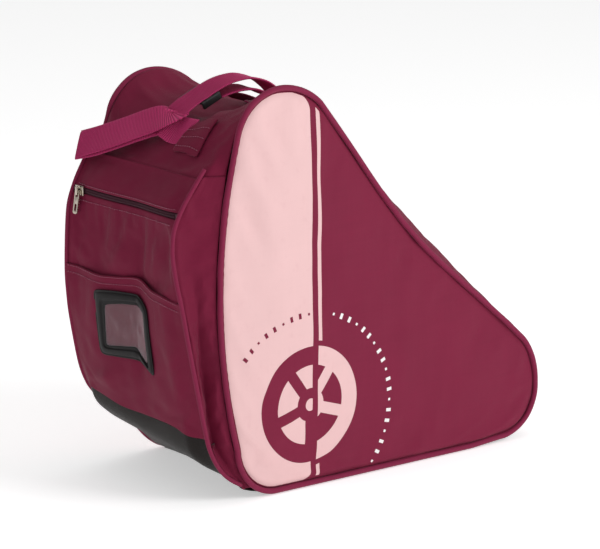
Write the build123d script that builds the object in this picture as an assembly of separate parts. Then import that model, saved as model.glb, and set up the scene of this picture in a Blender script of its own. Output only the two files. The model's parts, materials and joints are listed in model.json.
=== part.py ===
from build123d import *

import math
import os

# Boot bag for one pair of skates: two foam-backed side panels with a round piped edge, joined
# by a gusset that is the zipped heel pocket, the top, the two flaps of the main zip, the toe
# and the coated base. Millimetres. +X runs from heel to toe, +Y across the bag, +Z up.
# The origin is on the floor, under the middle of the bag.

# ---------------------------------------------------------------- driving dimensions
WIDTH = 200.0            # over the two piped side panels
PIPING = 6.0             # piping thickness, in the panel's plane and across it
PANEL_SKIN = 1.2         # outer cloth of a side panel
PANEL_FOAM = 3.0         # foam sheet behind it
PANEL_LINING = 0.8       # lining cloth behind the foam
CLOTH = 1.5              # gusset cloth with its lining
HEEL_HALF = 81.5         # half width of the heel face, to its own piping
HEEL_PIPING = 5.0
PIN_R = 0.8              # pin of a zip's puller
PULLER_LEAN = 9.0        # the pocket's puller leans on the swell of the heel face
WEBBING_WIDTH = 30.0
WEBBING = 1.6
POCKET_DEPTH = 17.0      # zipped heel pocket, front to back
SLIP_DEPTH = 7.5         # open slip pocket, front to back
ZIP_Z = 274.5            # height of the heel pocket's zip
ZIP_X = -209.2           # front of the heel pocket's zip tape
ZIP_SLOT = 5.0           # half the height of the slot that shows that zip
ZIP_HALF = 76.0          # half length of its row of teeth
COIL = 2.4               # height of a zip's row of teeth
COIL_GAP = 0.6           # half the gap between the two rows of the main zip
COIL_N = -3.4            # middle of the main zip's rows, outwards from the slope's line
TAPE = 0.8
POCKET_TAPE = 8.5        # from the middle of the pocket's zip to the edge of its tape
BOARD = 3.0              # base stiffener
SEAM_Z = 72.0            # seam between the heel face and the coated base
HEM_Z = 200.0            # mouth of the slip pocket
HEM_BAND = 9.0           # height of its hem
FACE_STEP = 14.0         # above the hem, where the heel face comes forward again
WINDOW_Z = 153.0         # middle of the name-card window
WINDOW_Y = 5.0
RIM_WIDTH = 84.0         # outside of its rim
RIM_HEIGHT = 62.0
RIM_THICKNESS = 2.2
VIEW_WIDTH = 60.0        # clear film inside the rim
VIEW_HEIGHT = 38.0
STRIP_FOOT = 4.0         # lower and upper ends of the strips beside the heel face
STRIP_TOP = 305.5
RUN = 0.3                # clearance between pieces that move on each other

SIDE_Y = WIDTH / 2
EDGE_Y = SIDE_Y - PIPING             # the gusset's edge, against the piping
STRIP_Y = HEEL_HALF + HEEL_PIPING    # outer edge of the heel piping

# ---------------------------------------------------------------- outlines, (x, z)
# Every outline runs clockwise seen from the front: up the heel, over the top, down the slope
# and the toe, and back along the floor. The inside of the bag is on its right.
# Side panel, outer edge of the piping, from the foot of the heel edge.
HEEL_FOOT = (-160.0, 48.0)
HEEL_MID = (-179.5, 185.0)
HEEL_HEAD = (-159.5, 342.0)
TOP_LEFT = (-143.0, 372.0)
TOP = (-107.0, 386.0)
TOP_RIGHT = (-80.0, 380.8)
SLOPE = [(-57.0, 366.0), (-18.5, 317.0), (60.5, 221.0), (125.0, 163.5), (197.0, 101.0)]
TOE_UPPER = (211.5, 76.0)
TOE = (214.5, 53.0)
TOE_LOWER = (203.0, 19.0)
TOE_FOOT = (166.0, 2.5)
BASE_TOE = (130.0, 0.0)
BASE_HEEL = (-115.0, 0.0)
HEEL_CORNER = (-146.0, 15.0)

# Heel face between its two lines of piping, and the edge of the side panel beside it.
HEEL_FACE = [(-120.0, 0.0), (-160.0, 18.0), (-192.0, 42.0), (-199.0, 72.0), (-204.0, 100.0),
             (-211.0, 145.0), (-216.0, 190.0), (-217.0, 230.0), (-214.0, 258.0), (-212.5, 283.0),
             (-204.0, 294.5), (-190.0, 306.0)]
HEEL_EDGE = [(-112.0, 0.0), (-146.0, 20.0), (-157.0, 42.0), (-165.0, 72.0), (-170.0, 100.0),
             (-176.0, 145.0), (-178.5, 190.0), (-177.5, 230.0), (-175.0, 258.0), (-171.5, 284.0),
             (-167.5, 306.0)]

# Top of the bag from the heel face to the start of the flaps: at its middle, which sags, over
# the lines of the heel piping, and at its edge.
TOP_MIDDLE = [(-190.0, 306.4), (-174.0, 328.0), (-158.0, 341.0), (-135.0, 345.0),
              (-105.0, 346.0), (-70.0, 351.0), (-46.0, 350.0), (-30.5, 340.5)]
TOP_SHOULDER = [(-190.0, 306.4), (-170.0, 331.0), (-150.0, 357.0), (-128.0, 371.0),
                (-105.0, 375.0), (-78.0, 371.0), (-54.0, 360.0), (-33.5, 337.5)]
TOP_EDGE = [(-167.5, 306.4), (-158.5, 339.0), (-143.0, 367.0), (-125.0, 380.0),
            (-105.0, 384.0), (-80.0, 379.0), (-58.0, 364.0), (-35.5, 336.0)]

# The main zip lies on one straight line from ZIP_TOP down the slope.
ZIP_TOP = (-50.0, 362.0)
ZIP_TOE = (210.0, 104.0)
FLAP_START = 30.0        # distances along that line
FLAP_END = 352.0
# From the piping to the zip the flap rises by these shares of the slope's hollow.
FLAP_RISE = [(-93.2, 0.0), (-76.0, 0.62), (-50.0, 0.9), (-9.0, 1.0)]

# Toe, from the end of the flaps to the base: at its middle, then at its edge.
TOE_MIDDLE = [(200.5, 112.5), (216.0, 92.0), (222.0, 65.0), (218.0, 36.0), (203.0, 17.5)]
TOE_EDGE = [(192.0, 104.0), (206.5, 84.0), (212.5, 58.0), (208.0, 32.0), (198.0, 17.5)]
BASE_LINE = [(197.0, 15.0), (184.0, 7.5), (160.0, 1.5), (130.0, 0.0)]


# ---------------------------------------------------------------- helpers
def at(point, y):
    """A point of an (x, z) outline, in the plane at this y."""
    return (point[0], y, point[1])


def direction(a, b):
    length = math.dist(a, b)
    return ((b[0] - a[0]) / length, (b[1] - a[1]) / length)


def offset_points(points, distance, closed=False):
    """Points moved to the right of the outline's direction, inwards, or left if negative."""
    moved = []
    last = len(points) - 1
    for index, point in enumerate(points):
        before = points[index - 1 if closed else max(index - 1, 0)]
        after = points[(index + 1) % len(points) if closed else min(index + 1, last)]
        dx, dz = direction(before, after)
        moved.append((point[0] + dz * distance, point[1] - dx * distance))
    return moved


def strip_face(points, thickness, y):
    """A thin curved strip in the plane at this y: the outline and the same moved inwards."""
    inner = offset_points(points, thickness)
    outer_edge = Spline(*[at(p, y) for p in points])
    inner_edge = Spline(*[at(p, y) for p in reversed(inner)])
    ends = [Line(at(points[-1], y), at(inner[-1], y)), Line(at(inner[0], y), at(points[0], y))]
    return make_face([outer_edge, ends[0], inner_edge, ends[1]])


def sheet(sections, thickness, ruled=False):
    """A sheet of cloth through strips at several y: sections is a list of (y, points)."""
    return loft([strip_face(points, thickness, y) for y, points in sections], ruled=ruled)


def band(points, thickness, y_low, y_high):
    """A sheet with the same outline from y_low to y_high."""
    return extrude(strip_face(points, thickness, y_low), amount=y_high - y_low, dir=(0, 1, 0))


def block(low, high):
    size = [h - l for l, h in zip(low, high)]
    middle = [(l + h) / 2 for l, h in zip(low, high)]
    return Pos(*middle) * Box(*size)


def mirrored(shape):
    return mirror(shape, about=Plane.XZ)


def save(name, shape):
    export_step(shape, f"parts/{name}.step")


def save_pair(stem, shape):
    """The same piece at the front (-Y) and, mirrored, at the rear (+Y)."""
    save(f"front_{stem}", shape)
    save(f"rear_{stem}", mirrored(shape))


# ---------------------------------------------------------------- side panels
PANEL = [HEEL_FOOT, HEEL_MID, HEEL_HEAD, TOP_LEFT, TOP, TOP_RIGHT, *SLOPE, TOE_UPPER, TOE,
         TOE_LOWER, TOE_FOOT, BASE_TOE, BASE_HEEL, HEEL_CORNER]


def panel_outline(inset):
    """The side panel's outline moved inwards, as a face in the XZ plane."""
    points = [at(p, 0) for p in offset_points(PANEL, inset, closed=True)]
    heel, top, slope = points[0:3], points[2:6] + [points[6]], points[6:11]
    toe, floor = points[10:15], points[14:17]
    edges = [
        ThreePointArc(*heel),
        ThreePointArc(*top[0:3]),
        ThreePointArc(*top[2:5]),
        Spline(*slope),
        ThreePointArc(*toe[0:3]),
        ThreePointArc(*toe[2:5]),
        Line(*floor[0:2]),
        Line(*floor[1:3]),
        ThreePointArc(points[16], points[17], points[0]),
    ]
    return make_face(edges)


def layer(face, y_low, y_high):
    """The face, which lies at y = 0, as a plate from y_low to y_high."""
    moved = Pos(0, y_low, 0) * face
    return extrude(moved, amount=y_high - y_low, dir=(0, 1, 0))


def side_panels():
    outline = panel_outline(0)
    inside = panel_outline(PIPING)
    ring = layer(outline, -SIDE_Y, -EDGE_Y) - layer(inside, -SIDE_Y - 1, -EDGE_Y + 1)
    save_pair("panel_piping", ring)
    skin_y = -SIDE_Y + 0.5
    foam_y = skin_y + PANEL_SKIN
    lining_y = foam_y + PANEL_FOAM
    save_pair("side_panel", layer(inside, skin_y, foam_y))
    save_pair("panel_foam", layer(inside, foam_y, lining_y))
    save_pair("panel_lining", layer(inside, lining_y, lining_y + PANEL_LINING))


# ---------------------------------------------------------------- heel
def point_at(points, z):
    """The outline's point at this height."""
    for a, b in zip(points, points[1:]):
        if a[1] <= z <= b[1]:
            share = (z - a[1]) / (b[1] - a[1])
            return (a[0] + share * (b[0] - a[0]), z)
    raise ValueError(z)


def stretch(points, z_low, z_high):
    """The outline from one height up to another, with both ends."""
    middle = [p for p in points if z_low + 3 < p[1] < z_high - 3]
    return [point_at(points, z_low)] + middle + [point_at(points, z_high)]


def shifted(points, distance):
    """The outline moved towards the toe."""
    return [(x + distance, z) for x, z in points]


def heel():
    yoke = band(stretch(HEEL_FACE, ZIP_Z + ZIP_SLOT, STRIP_TOP), CLOTH, -HEEL_HALF, HEEL_HALF)
    save("heel_yoke", yoke)

    lower = shifted(stretch(HEEL_FACE, SEAM_Z + 1, HEM_Z - 4), SLIP_DEPTH + CLOTH)
    upper = stretch(HEEL_FACE, HEM_Z + FACE_STEP, ZIP_Z - ZIP_SLOT)
    save("heel_face", band(lower + upper, CLOTH, -HEEL_HALF, HEEL_HALF))

    save("slip_pocket_panel", slip_pocket())
    hem_line = offset_points(stretch(HEEL_FACE, HEM_Z - HEM_BAND, HEM_Z), -1.4)
    save("slip_pocket_hem", band(hem_line, 0.9, 1 - HEEL_HALF, HEEL_HALF - 1))

    lining_line = shifted(stretch(HEEL_FACE, SEAM_Z + 12, ZIP_Z + 16), POCKET_DEPTH)
    save("zip_pocket_lining", band(lining_line, 0.8, 4 - HEEL_HALF, HEEL_HALF - 4))

    outer_line = stretch(HEEL_EDGE, STRIP_FOOT, STRIP_TOP)
    inner_line = stretch(HEEL_FACE, STRIP_FOOT, STRIP_TOP)
    strip = sheet([(-EDGE_Y, outer_line), (-STRIP_Y, inner_line)], CLOTH, ruled=True)
    save_pair("heel_gusset", strip)
    cord_line = offset_points(inner_line, -1.0)
    save_pair("heel_piping", band(cord_line, HEEL_PIPING - 1, -STRIP_Y, -HEEL_HALF))


def slip_pocket():
    """Outer wall of the slip pocket, closed along its two sides against the heel face."""
    pocket = band(stretch(HEEL_FACE, SEAM_Z + 1, HEM_Z), 1.0, -HEEL_HALF, HEEL_HALF)
    side_line = shifted(stretch(HEEL_FACE, SEAM_Z + 1, HEM_Z - 14), 0.6)
    for y in (-HEEL_HALF, HEEL_HALF - 1):
        pocket = pocket + band(side_line, SLIP_DEPTH - 0.2, y, y + 1)
    return pocket


def id_window():
    """Clear pocket for a name card on the slip pocket: a raised black rim and its film."""
    half = RIM_HEIGHT / 2
    low, middle, high = [point_at(HEEL_FACE, WINDOW_Z + dz) for dz in (-half, 0, half)]
    lean = math.degrees(math.atan2(low[0] - high[0], high[1] - low[1]))
    origin = (middle[0] - 1.3, WINDOW_Y, WINDOW_Z)
    plane = Plane(origin=(0, 0, 0), x_dir=(0, 1, 0), z_dir=(-1, 0, 0))
    outer = extrude(plane * RectangleRounded(RIM_WIDTH, RIM_HEIGHT, 4), amount=RIM_THICKNESS)
    view_face = RectangleRounded(VIEW_WIDTH, VIEW_HEIGHT, 3)
    window = extrude(plane * view_face, amount=2 * RIM_THICKNESS)
    ledge_face = RectangleRounded(VIEW_WIDTH + 10, VIEW_HEIGHT + 8, 3)
    step = extrude(plane.offset(1.3) * ledge_face, amount=RIM_THICKNESS)
    film_face = RectangleRounded(VIEW_WIDTH - 2 * RUN, VIEW_HEIGHT - 2 * RUN, 2.8)
    film = extrude(plane.offset(0.5) * film_face, amount=0.4)
    place = Pos(*origin) * Rot(0, -lean, 0)
    save("id_window_rim", place * (outer - window - step))
    save("id_window_film", place * film)


def pocket_zip():
    reach = ZIP_HALF + 4
    for name, sign in (("upper", 1), ("lower", -1)):
        near = ZIP_Z + sign * COIL / 2
        far = ZIP_Z + sign * POCKET_TAPE
        z_low, z_high = min(near, far), max(near, far)
        tape = block((ZIP_X, -reach, z_low), (ZIP_X + TAPE, reach, z_high))
        save(f"pocket_zip_{name}_tape", tape)
    coil_front = ZIP_X - 2.2
    half_coil = COIL / 2 - 0.05
    coil = block((coil_front, -ZIP_HALF, ZIP_Z - half_coil), (ZIP_X, ZIP_HALF, ZIP_Z + half_coil))
    save("pocket_zip_coil", coil)
    for name, y in (("start_stop", ZIP_HALF + 0.3), ("end_stop", -ZIP_HALF - 2.8)):
        stop = block((ZIP_X - 2.4, y, ZIP_Z - 2.6), (ZIP_X - 0.1, y + 2.5, ZIP_Z + 2.6))
        save(f"pocket_zip_{name}", stop)

    slider_y = ZIP_HALF - 8
    back = coil_front - RUN
    front = back - 1.4
    body = block((front, slider_y - 6, ZIP_Z - 4.5), (back, slider_y + 6, ZIP_Z + 4.5))
    loop = block((front - 3.8, slider_y - 1.3, ZIP_Z - 4), (front, slider_y + 1.3, ZIP_Z + 4))
    eye = block((front - 2.6, slider_y - 3, ZIP_Z - 2.2), (front, slider_y + 3, ZIP_Z + 2.2))
    save("pocket_zip_slider", body + (loop - eye))
    return front - 1.3, slider_y


def puller(length, width):
    """A zip puller: its pin along Y at the origin, its tab hanging down -Z, thin along X."""
    pin_half, arm_y = 3.4, 2.6
    pin = extrude(Plane.XZ * Circle(PIN_R), amount=pin_half, both=True)
    tab_face = Plane.YZ * (Pos(0, -6.0 - length / 2) * RectangleRounded(width, length, 2.2))
    tab = extrude(tab_face, amount=PIN_R, both=True)
    slot_face = Plane.YZ * (Pos(0, -length) * SlotOverall(7.0, 3.0, rotation=90))
    shape = pin + tab - extrude(slot_face, amount=3, both=True)
    for y in (-arm_y, arm_y):
        shape = shape + block((-PIN_R, y - 0.8, -7.5), (PIN_R, y + 0.8, 0))
    return shape


# ---------------------------------------------------------------- top, toe, base
def top_and_base():
    sections = [(0, TOP_MIDDLE), (HEEL_HALF, TOP_SHOULDER), (EDGE_Y, TOP_EDGE)]
    front = [(-y, points) for y, points in reversed(sections[1:])]
    save("top_panel", sheet(front + sections, CLOTH, ruled=True))
    toe = sheet([(-EDGE_Y, TOE_EDGE), (0, TOE_MIDDLE), (EDGE_Y, TOE_EDGE)], CLOTH)
    save("toe_panel", toe)

    toe_part = band(BASE_LINE, CLOTH, -EDGE_Y, EDGE_Y)
    flat = block((-121.0, -EDGE_Y, 0), (131.0, EDGE_Y, CLOTH))
    heel_part = band(stretch(HEEL_FACE, 0.0, SEAM_Z), CLOTH, -HEEL_HALF, HEEL_HALF)
    save("base_panel", toe_part + flat + heel_part)
    board_y = EDGE_Y - 6
    board = block((-100.0, -board_y, CLOTH), (128.0, board_y, CLOTH + BOARD))
    save("base_board", board)


# ---------------------------------------------------------------- main zip and its flaps
ALONG = direction(ZIP_TOP, ZIP_TOE)
OUT = (-ALONG[1], ALONG[0])


def on_slope(s, n):
    """Point at distance s along the main zip's line and n outwards from it, as (x, z)."""
    return (ZIP_TOP[0] + s * ALONG[0] + n * OUT[0], ZIP_TOP[1] + s * ALONG[1] + n * OUT[1])


def slope_block(s_low, s_high, y_low, y_high, n_low, n_high):
    """A box aligned with the main zip."""
    corners = [on_slope(s, n) for s, n in
               ((s_low, n_low), (s_high, n_low), (s_high, n_high), (s_low, n_high))]
    face = make_face(Polyline(*[at(c, y_low) for c in corners], close=True))
    return extrude(face, amount=y_high - y_low, dir=(0, 1, 0))


def edge_on_slope():
    """The flap's sewn edge, in (s, n): it follows the side panel's hollow slope."""
    depths = [(FLAP_START, -8.5)]
    for x, z in SLOPE[1:4]:
        dx, dz = x - ZIP_TOP[0], z - ZIP_TOP[1]
        depths.append((dx * ALONG[0] + dz * ALONG[1], dx * OUT[0] + dz * OUT[1] - 1.5))
    depths.append((FLAP_END, -12.5))
    return depths


def flap():
    """Front half of the slope's gusset, from the side panel's piping to the zip tape."""
    edge = edge_on_slope()
    sections = []
    for y, rise in FLAP_RISE:
        sections.append((y, [on_slope(s, n * (1 - rise)) for s, n in edge]))
    return sheet(sections, CLOTH)


def main_zip():
    save_pair("flap", flap())
    zip_low, zip_high = FLAP_START + 6, FLAP_END - 6
    tape = slope_block(zip_low, zip_high, -15.0, -COIL_GAP - 2.0, COIL_N - TAPE / 2, COIL_N + TAPE / 2)
    save_pair("main_zip_tape", tape)
    top_n, low_n = COIL_N + COIL / 2, COIL_N - COIL / 2
    coil = slope_block(zip_low + 3, zip_high - 3, -COIL_GAP - 2.0, -COIL_GAP, low_n, top_n)
    save_pair("main_zip_coil", coil)

    # The slider rides on the front row, so its lower plate leaves the rear row free to lift out.
    slider_s = zip_low + 14
    top_n, low_n = top_n + RUN + 0.1, low_n - RUN - 0.2
    plate = slope_block(slider_s - 6.5, slider_s + 6.5, -5.5, 5.5, top_n, top_n + 1.4)
    under = slope_block(slider_s - 6.5, slider_s + 6.5, -5.5, COIL_GAP / 2, low_n - 1.2, low_n)
    post = slope_block(slider_s - 5.5, slider_s - 3, -0.3, 0.3, low_n - 0.5, top_n + 0.5)
    bridge = slope_block(slider_s - 4, slider_s + 4, -1.3, 1.3, top_n + 1.0, top_n + 5.2)
    eye = slope_block(slider_s - 2.2, slider_s + 2.2, -3, 3, top_n + 1.6, top_n + 4.0)
    save("main_zip_slider", plate + under + post + (bridge - eye))
    return slider_s, top_n + 2.8


# ---------------------------------------------------------------- carrying strap
STRAP_BEND = (-158.0, -12.0, 352.5)      # where the strap turns across the bag
STRAP_FOLD = (-199.0, 86.0, 314.0)       # its doubled end, past the far corner of the heel
LAYER_GAP = 1.2                          # between the two layers of the doubled stretch
RUN_LOW = (-149.0, 351.0)                # straight stretch that carries the adjuster
RUN_HIGH = (-97.0, 373.0)
ARCH = [RUN_HIGH, (-84.0, 377.5), (-69.0, 378.0), (-50.0, 371.0), (-38.0, 361.0), (-33.0, 353.0)]
RETURN = [(-98.0, 364.5), (-84.0, 368.5), (-69.0, 369.0), (-54.0, 363.5), (-47.0, 357.5)]


def top_at(y):
    """The top panel's outline at this y, between its two shoulders."""
    share = abs(y) / HEEL_HALF
    pairs = zip(TOP_MIDDLE, TOP_SHOULDER)
    return [(m[0] + share * (e[0] - m[0]), m[1] + share * (e[1] - m[1])) for m, e in pairs]


def ribbon(points):
    return band(points, WEBBING, -WEBBING_WIDTH / 2, WEBBING_WIDTH / 2)


def straight(a, b, thickness, half_width):
    """A straight flat strip between two (x, z) points."""
    inner = offset_points([a, b], thickness)
    face = make_face(Polyline(*[at(p, -half_width) for p in (a, b, inner[1], inner[0])], close=True))
    return extrude(face, amount=2 * half_width, dir=(0, 1, 0))


def heel_run():
    """The strap's doubled stretch: out to the fold and back towards the seam at the heel."""
    start, end = Vector(*STRAP_BEND), Vector(*STRAP_FOLD)
    along = (end - start).normalized()
    surface = Vector(-0.79, 0, 0.61)
    across = along.cross(surface).normalized()
    plane = Plane(origin=start, x_dir=along, z_dir=across)
    length = (end - start).length
    down = -1.0 if plane.y_dir.dot(surface) > 0 else 1.0
    lower_y = down * (WEBBING + LAYER_GAP)
    upper = Pos(length / 2, 0) * Rectangle(length, WEBBING)
    lower = Pos(length / 2 + 5, lower_y) * Rectangle(length - 10, WEBBING)
    turn = Pos(length - 0.8, lower_y / 2) * Rectangle(WEBBING, 2 * WEBBING + LAYER_GAP)
    return extrude(plane * (upper + lower + turn), amount=WEBBING_WIDTH / 2, both=True)


def strap_tab(across, x_low, x_high):
    """A patch of webbing sewn on the top panel, where an end of the strap is held."""
    sections = [(y, offset_points(top_at(y), -2.0)) for y in across]
    patch = sheet(sections, 1.8, ruled=True)
    return patch & block((x_low, across[0], 300), (x_high, across[-1], 400))


def strap():
    middle = straight(RUN_LOW, RUN_HIGH, WEBBING, WEBBING_WIDTH / 2)
    save("strap_adjuster_run", middle + ribbon(ARCH))
    save("strap_return_run", ribbon(RETURN))
    save("strap_heel_run", heel_run())
    save("slope_strap_tab", strap_tab((-14.0, 0.0, 14.0), -60.0, -36.0))
    save("heel_strap_tab", strap_tab((-64.0, -34.0), -170.0, -156.0))


def adjuster():
    """Three-bar slide: the webbing passes over its middle bar and under its two end bars."""
    dx, dz = direction(RUN_LOW, RUN_HIGH)
    origin = ((RUN_LOW[0] + RUN_HIGH[0]) / 2, 0, (RUN_LOW[1] + RUN_HIGH[1]) / 2)
    plane = Plane(origin=origin, x_dir=(dx, 0, dz), z_dir=(-dz, 0, dx))
    bar, rail, length = 2.2, 3.0, 22.0
    over = RUN + 0.05 + bar / 2
    under = -WEBBING - over
    half = WEBBING_WIDTH / 2 + 0.4 + rail / 2
    span = 2 * half + rail
    shape = Pos(0, 0, under) * Box(4.0, span, bar)
    for s in (-1, 1):
        shape = shape + Pos(s * (length / 2 - 1.8), 0, over) * Box(3.6, span, bar)
        shape = shape + Pos(0, s * half, (over + under) / 2) * Box(length, rail, over - under + bar)
    save("strap_adjuster", plane.location * shape)


def main():
    os.makedirs("parts", exist_ok=True)
    side_panels()
    heel()
    id_window()
    pocket_front, pocket_y = pocket_zip()
    pocket_place = Pos(pocket_front, pocket_y, ZIP_Z) * Rot(0, PULLER_LEAN, 0)
    save("pocket_zip_puller", pocket_place * puller(16, 6.5))
    top_and_base()
    slider_s, pin_n = main_zip()
    pin_x, pin_z = on_slope(slider_s, pin_n)
    hang = math.degrees(math.atan2(ALONG[0], -ALONG[1]))
    save("main_zip_puller", Pos(pin_x, 0, pin_z) * Rot(0, -hang, 0) * puller(18, 7))
    strap()
    adjuster()


main()
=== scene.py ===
import json
import math

import bmesh
import bpy
import numpy as np
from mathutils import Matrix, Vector, noise


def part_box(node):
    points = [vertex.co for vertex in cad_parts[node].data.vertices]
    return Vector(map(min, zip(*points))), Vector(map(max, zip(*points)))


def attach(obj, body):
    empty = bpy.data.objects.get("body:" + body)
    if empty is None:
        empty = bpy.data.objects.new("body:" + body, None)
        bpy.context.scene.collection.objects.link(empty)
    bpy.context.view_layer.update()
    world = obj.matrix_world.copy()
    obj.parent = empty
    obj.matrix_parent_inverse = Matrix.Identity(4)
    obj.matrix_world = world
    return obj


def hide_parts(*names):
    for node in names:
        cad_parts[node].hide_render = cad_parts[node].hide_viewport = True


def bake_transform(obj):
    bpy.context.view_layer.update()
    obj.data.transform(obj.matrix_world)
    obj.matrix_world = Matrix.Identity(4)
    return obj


# Skate boot bag: the soft goods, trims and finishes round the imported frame. Lengths in this
# script are millimetres until a mesh is made, which is in metres. +X runs from heel to toe,
# +Y across the bag, +Z up, as in the frame.
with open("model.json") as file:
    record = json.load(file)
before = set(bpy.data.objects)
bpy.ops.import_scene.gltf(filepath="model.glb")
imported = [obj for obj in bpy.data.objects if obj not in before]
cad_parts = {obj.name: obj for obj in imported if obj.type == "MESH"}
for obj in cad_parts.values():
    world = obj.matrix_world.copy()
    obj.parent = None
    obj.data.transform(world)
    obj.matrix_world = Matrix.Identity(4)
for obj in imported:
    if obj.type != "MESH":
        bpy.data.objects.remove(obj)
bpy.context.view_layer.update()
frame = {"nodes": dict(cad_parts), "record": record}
MM = 0.001

# ---------------------------------------------------------------- driving values
PIPING_R = 2.7              # round piping of the side panels
HEEL_PIPING_R = 2.1         # round piping of the heel face
CLOTH = 1.2                 # thickness of the gusset cloth
PANEL_CROWN = 4.5           # swell of a side panel over its foam
WEBBING = 1.5               # thickness of the strap's webbing
RIB_PITCH = 1.7             # crosswise ribs of the webbing
STITCH_PITCH = 3.2
STITCH_LENGTH = 2.3
STITCH_R = 0.32
TOOTH_PITCH = 1.45
INSIDE = np.array((-20.0, 150.0))   # a point well inside the bag, x and z
RIGHT, UP = np.array((0.0, 1.0, 0.0)), np.array((0.0, 0.0, 1.0))

# The printed design, on (x, z) of a side panel.
PINK_EDGE = -71.5           # the pink field ends here, with rounded corners
LINE_LOW, LINE_HIGH = -64.8, -60.6   # the thin pink line beside it
RING = (-76.2, 68.7)        # centre of the ring of ticks
WHEEL = (-74.0, 80.0)       # centre of the wheel mark
RING_R = 98.4


# ---------------------------------------------------------------- reading the frame
def low_high(node):
    low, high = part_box(node)
    return np.array(low) / MM, np.array(high) / MM


def cut_loops(node, y):
    """Closed loops of (x, z) where the plane at this y cuts a CAD node."""
    bm = bmesh.new()
    bm.from_mesh(frame["nodes"][node].data)
    bmesh.ops.remove_doubles(bm, verts=bm.verts, dist=1e-6)
    everything = bm.verts[:] + bm.edges[:] + bm.faces[:]
    cut = bmesh.ops.bisect_plane(bm, geom=everything, plane_co=(0, y * MM, 0), plane_no=(0, 1, 0))
    edges = [e for e in cut["geom_cut"] if isinstance(e, bmesh.types.BMEdge)]
    joined = {}
    for e in edges:
        a, b = e.verts
        joined.setdefault(a, []).append(b)
        joined.setdefault(b, []).append(a)
    loops, seen = [], set()
    for start in joined:
        if start in seen:
            continue
        loop, here = [], start
        while here is not None:
            seen.add(here)
            loop.append((here.co.x / MM, here.co.z / MM))
            here = next((v for v in joined[here] if v not in seen), None)
        loops.append(np.array(loop))
    bm.free()
    return loops


def length_of(line):
    return float(np.linalg.norm(np.diff(line, axis=0), axis=1).sum())


def clockwise(line):
    """The line turned so that it runs clockwise round the bag's inside, seen from the front."""
    angle = np.unwrap(np.arctan2(line[:, 1] - INSIDE[1], line[:, 0] - INSIDE[0]))
    return line if angle[-1] < angle[0] else line[::-1]


def outer_line(node, y, kinked=False):
    """The outer side of a sheet of cloth where the plane at this y cuts it.

    A kinked sheet is split at its lowest and its rightmost point, others at their four corners.
    """
    loop = max(cut_loops(node, y), key=length_of)
    if kinked:
        loop = np.roll(loop, -int(np.argmin(loop[:, 1])), axis=0)
        far = int(np.argmax(loop[:, 0]))
        sides = [loop[:far + 1], np.vstack([loop[far:], loop[:1]])]
        return clockwise(max(sides, key=lambda s: np.linalg.norm(resample(s, 60) - INSIDE, axis=1).mean()))
    before = loop - np.roll(loop, 1, axis=0)
    after = np.roll(loop, -1, axis=0) - loop
    turn = np.abs(before[:, 0] * after[:, 1] - before[:, 1] * after[:, 0])
    turn /= np.maximum(np.linalg.norm(before, axis=1) * np.linalg.norm(after, axis=1), 1e-9)
    corners = sorted(np.argsort(turn)[-4:])
    loop = np.roll(loop, -corners[0], axis=0)
    marks = [c - corners[0] for c in corners] + [len(loop)]
    closed = np.vstack([loop, loop[:1]])
    sides = [closed[a:b + 1] for a, b in zip(marks, marks[1:])]
    sides = sorted(sides, key=length_of)[-2:]
    return clockwise(max(sides, key=lambda s: np.linalg.norm(s - INSIDE, axis=1).mean()))


def resample(line, count):
    """The line again, as count points evenly spaced along it."""
    steps = np.linalg.norm(np.diff(line, axis=0), axis=1)
    along = np.concatenate([[0], np.cumsum(steps)])
    at = np.linspace(0, along[-1], count)
    return np.stack([np.interp(at, along, line[:, k]) for k in range(line.shape[1])], axis=1)


def softened_line(line, rounds):
    """The line with its kinks rounded, both ends held."""
    line = line.copy()
    for _ in range(rounds):
        line[1:-1] = 0.25 * line[:-2] + 0.5 * line[1:-1] + 0.25 * line[2:]
    return line


def smoothstep(value, low, high):
    t = np.clip((np.asarray(value, float) - low) / (high - low), 0, 1)
    return t * t * (3 - 2 * t)


def bump_at(value, centre, width):
    return np.exp(-((np.asarray(value, float) - centre) / width) ** 2)


# ---------------------------------------------------------------- soft shape of the whole bag
def slump(points):
    """The far top of the bag stands lower than the near one, as the cloth there gives way."""
    points = np.array(points, float)
    x, y, z = points[..., 0], points[..., 1], points[..., 2]
    share = smoothstep(z, 290, 385) * smoothstep(y, -60, 100) * smoothstep(-x, -170, 20)
    points[..., 2] = z - 12.0 * share
    return points


def tucked(points):
    """The base under the heel is drawn up off the floor, most at the far side."""
    points = np.array(points, float)
    x, y, z = points[..., 0], points[..., 1], points[..., 2]
    rise = np.interp(y, (-97, -84, -60, 0, 60, 91), (0, 3, 8, 16, 24, 33))
    share = smoothstep(-x, 92, 150) * (1 - smoothstep(z, 20, 112)) * (z > -0.5)
    points[..., 2] = z + rise * share
    return points


def fold(points, normals, a, b, width, height):
    """Raises, or sinks if height is negative, a soft ridge from a to b, fading at both ends."""
    a, b = np.array(a, float), np.array(b, float)
    along = b - a
    t = np.clip(((points - a) @ along) / (along @ along), 0, 1)
    nearest = a + t[..., None] * along
    distance = np.linalg.norm(points - nearest, axis=-1)
    strength = height * np.exp(-(distance / width) ** 2) * (0.35 + 0.65 * np.sin(math.pi * t))
    return points + normals * strength[..., None]


def grid_normals(points):
    """Outward normals of a grid of points."""
    along = np.gradient(points, axis=0)
    across = np.gradient(points, axis=1)
    normals = np.cross(along, across)
    normals /= np.maximum(np.linalg.norm(normals, axis=-1, keepdims=True), 1e-9)
    centre = np.array((INSIDE[0], 0, INSIDE[1]))
    if np.sum(normals * (points - centre)) < 0:
        normals = -normals
    return normals


def folded(points, folds):
    for a, b, width, height in folds:
        points = fold(points, grid_normals(points), a, b, width, height)
    return points


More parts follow.
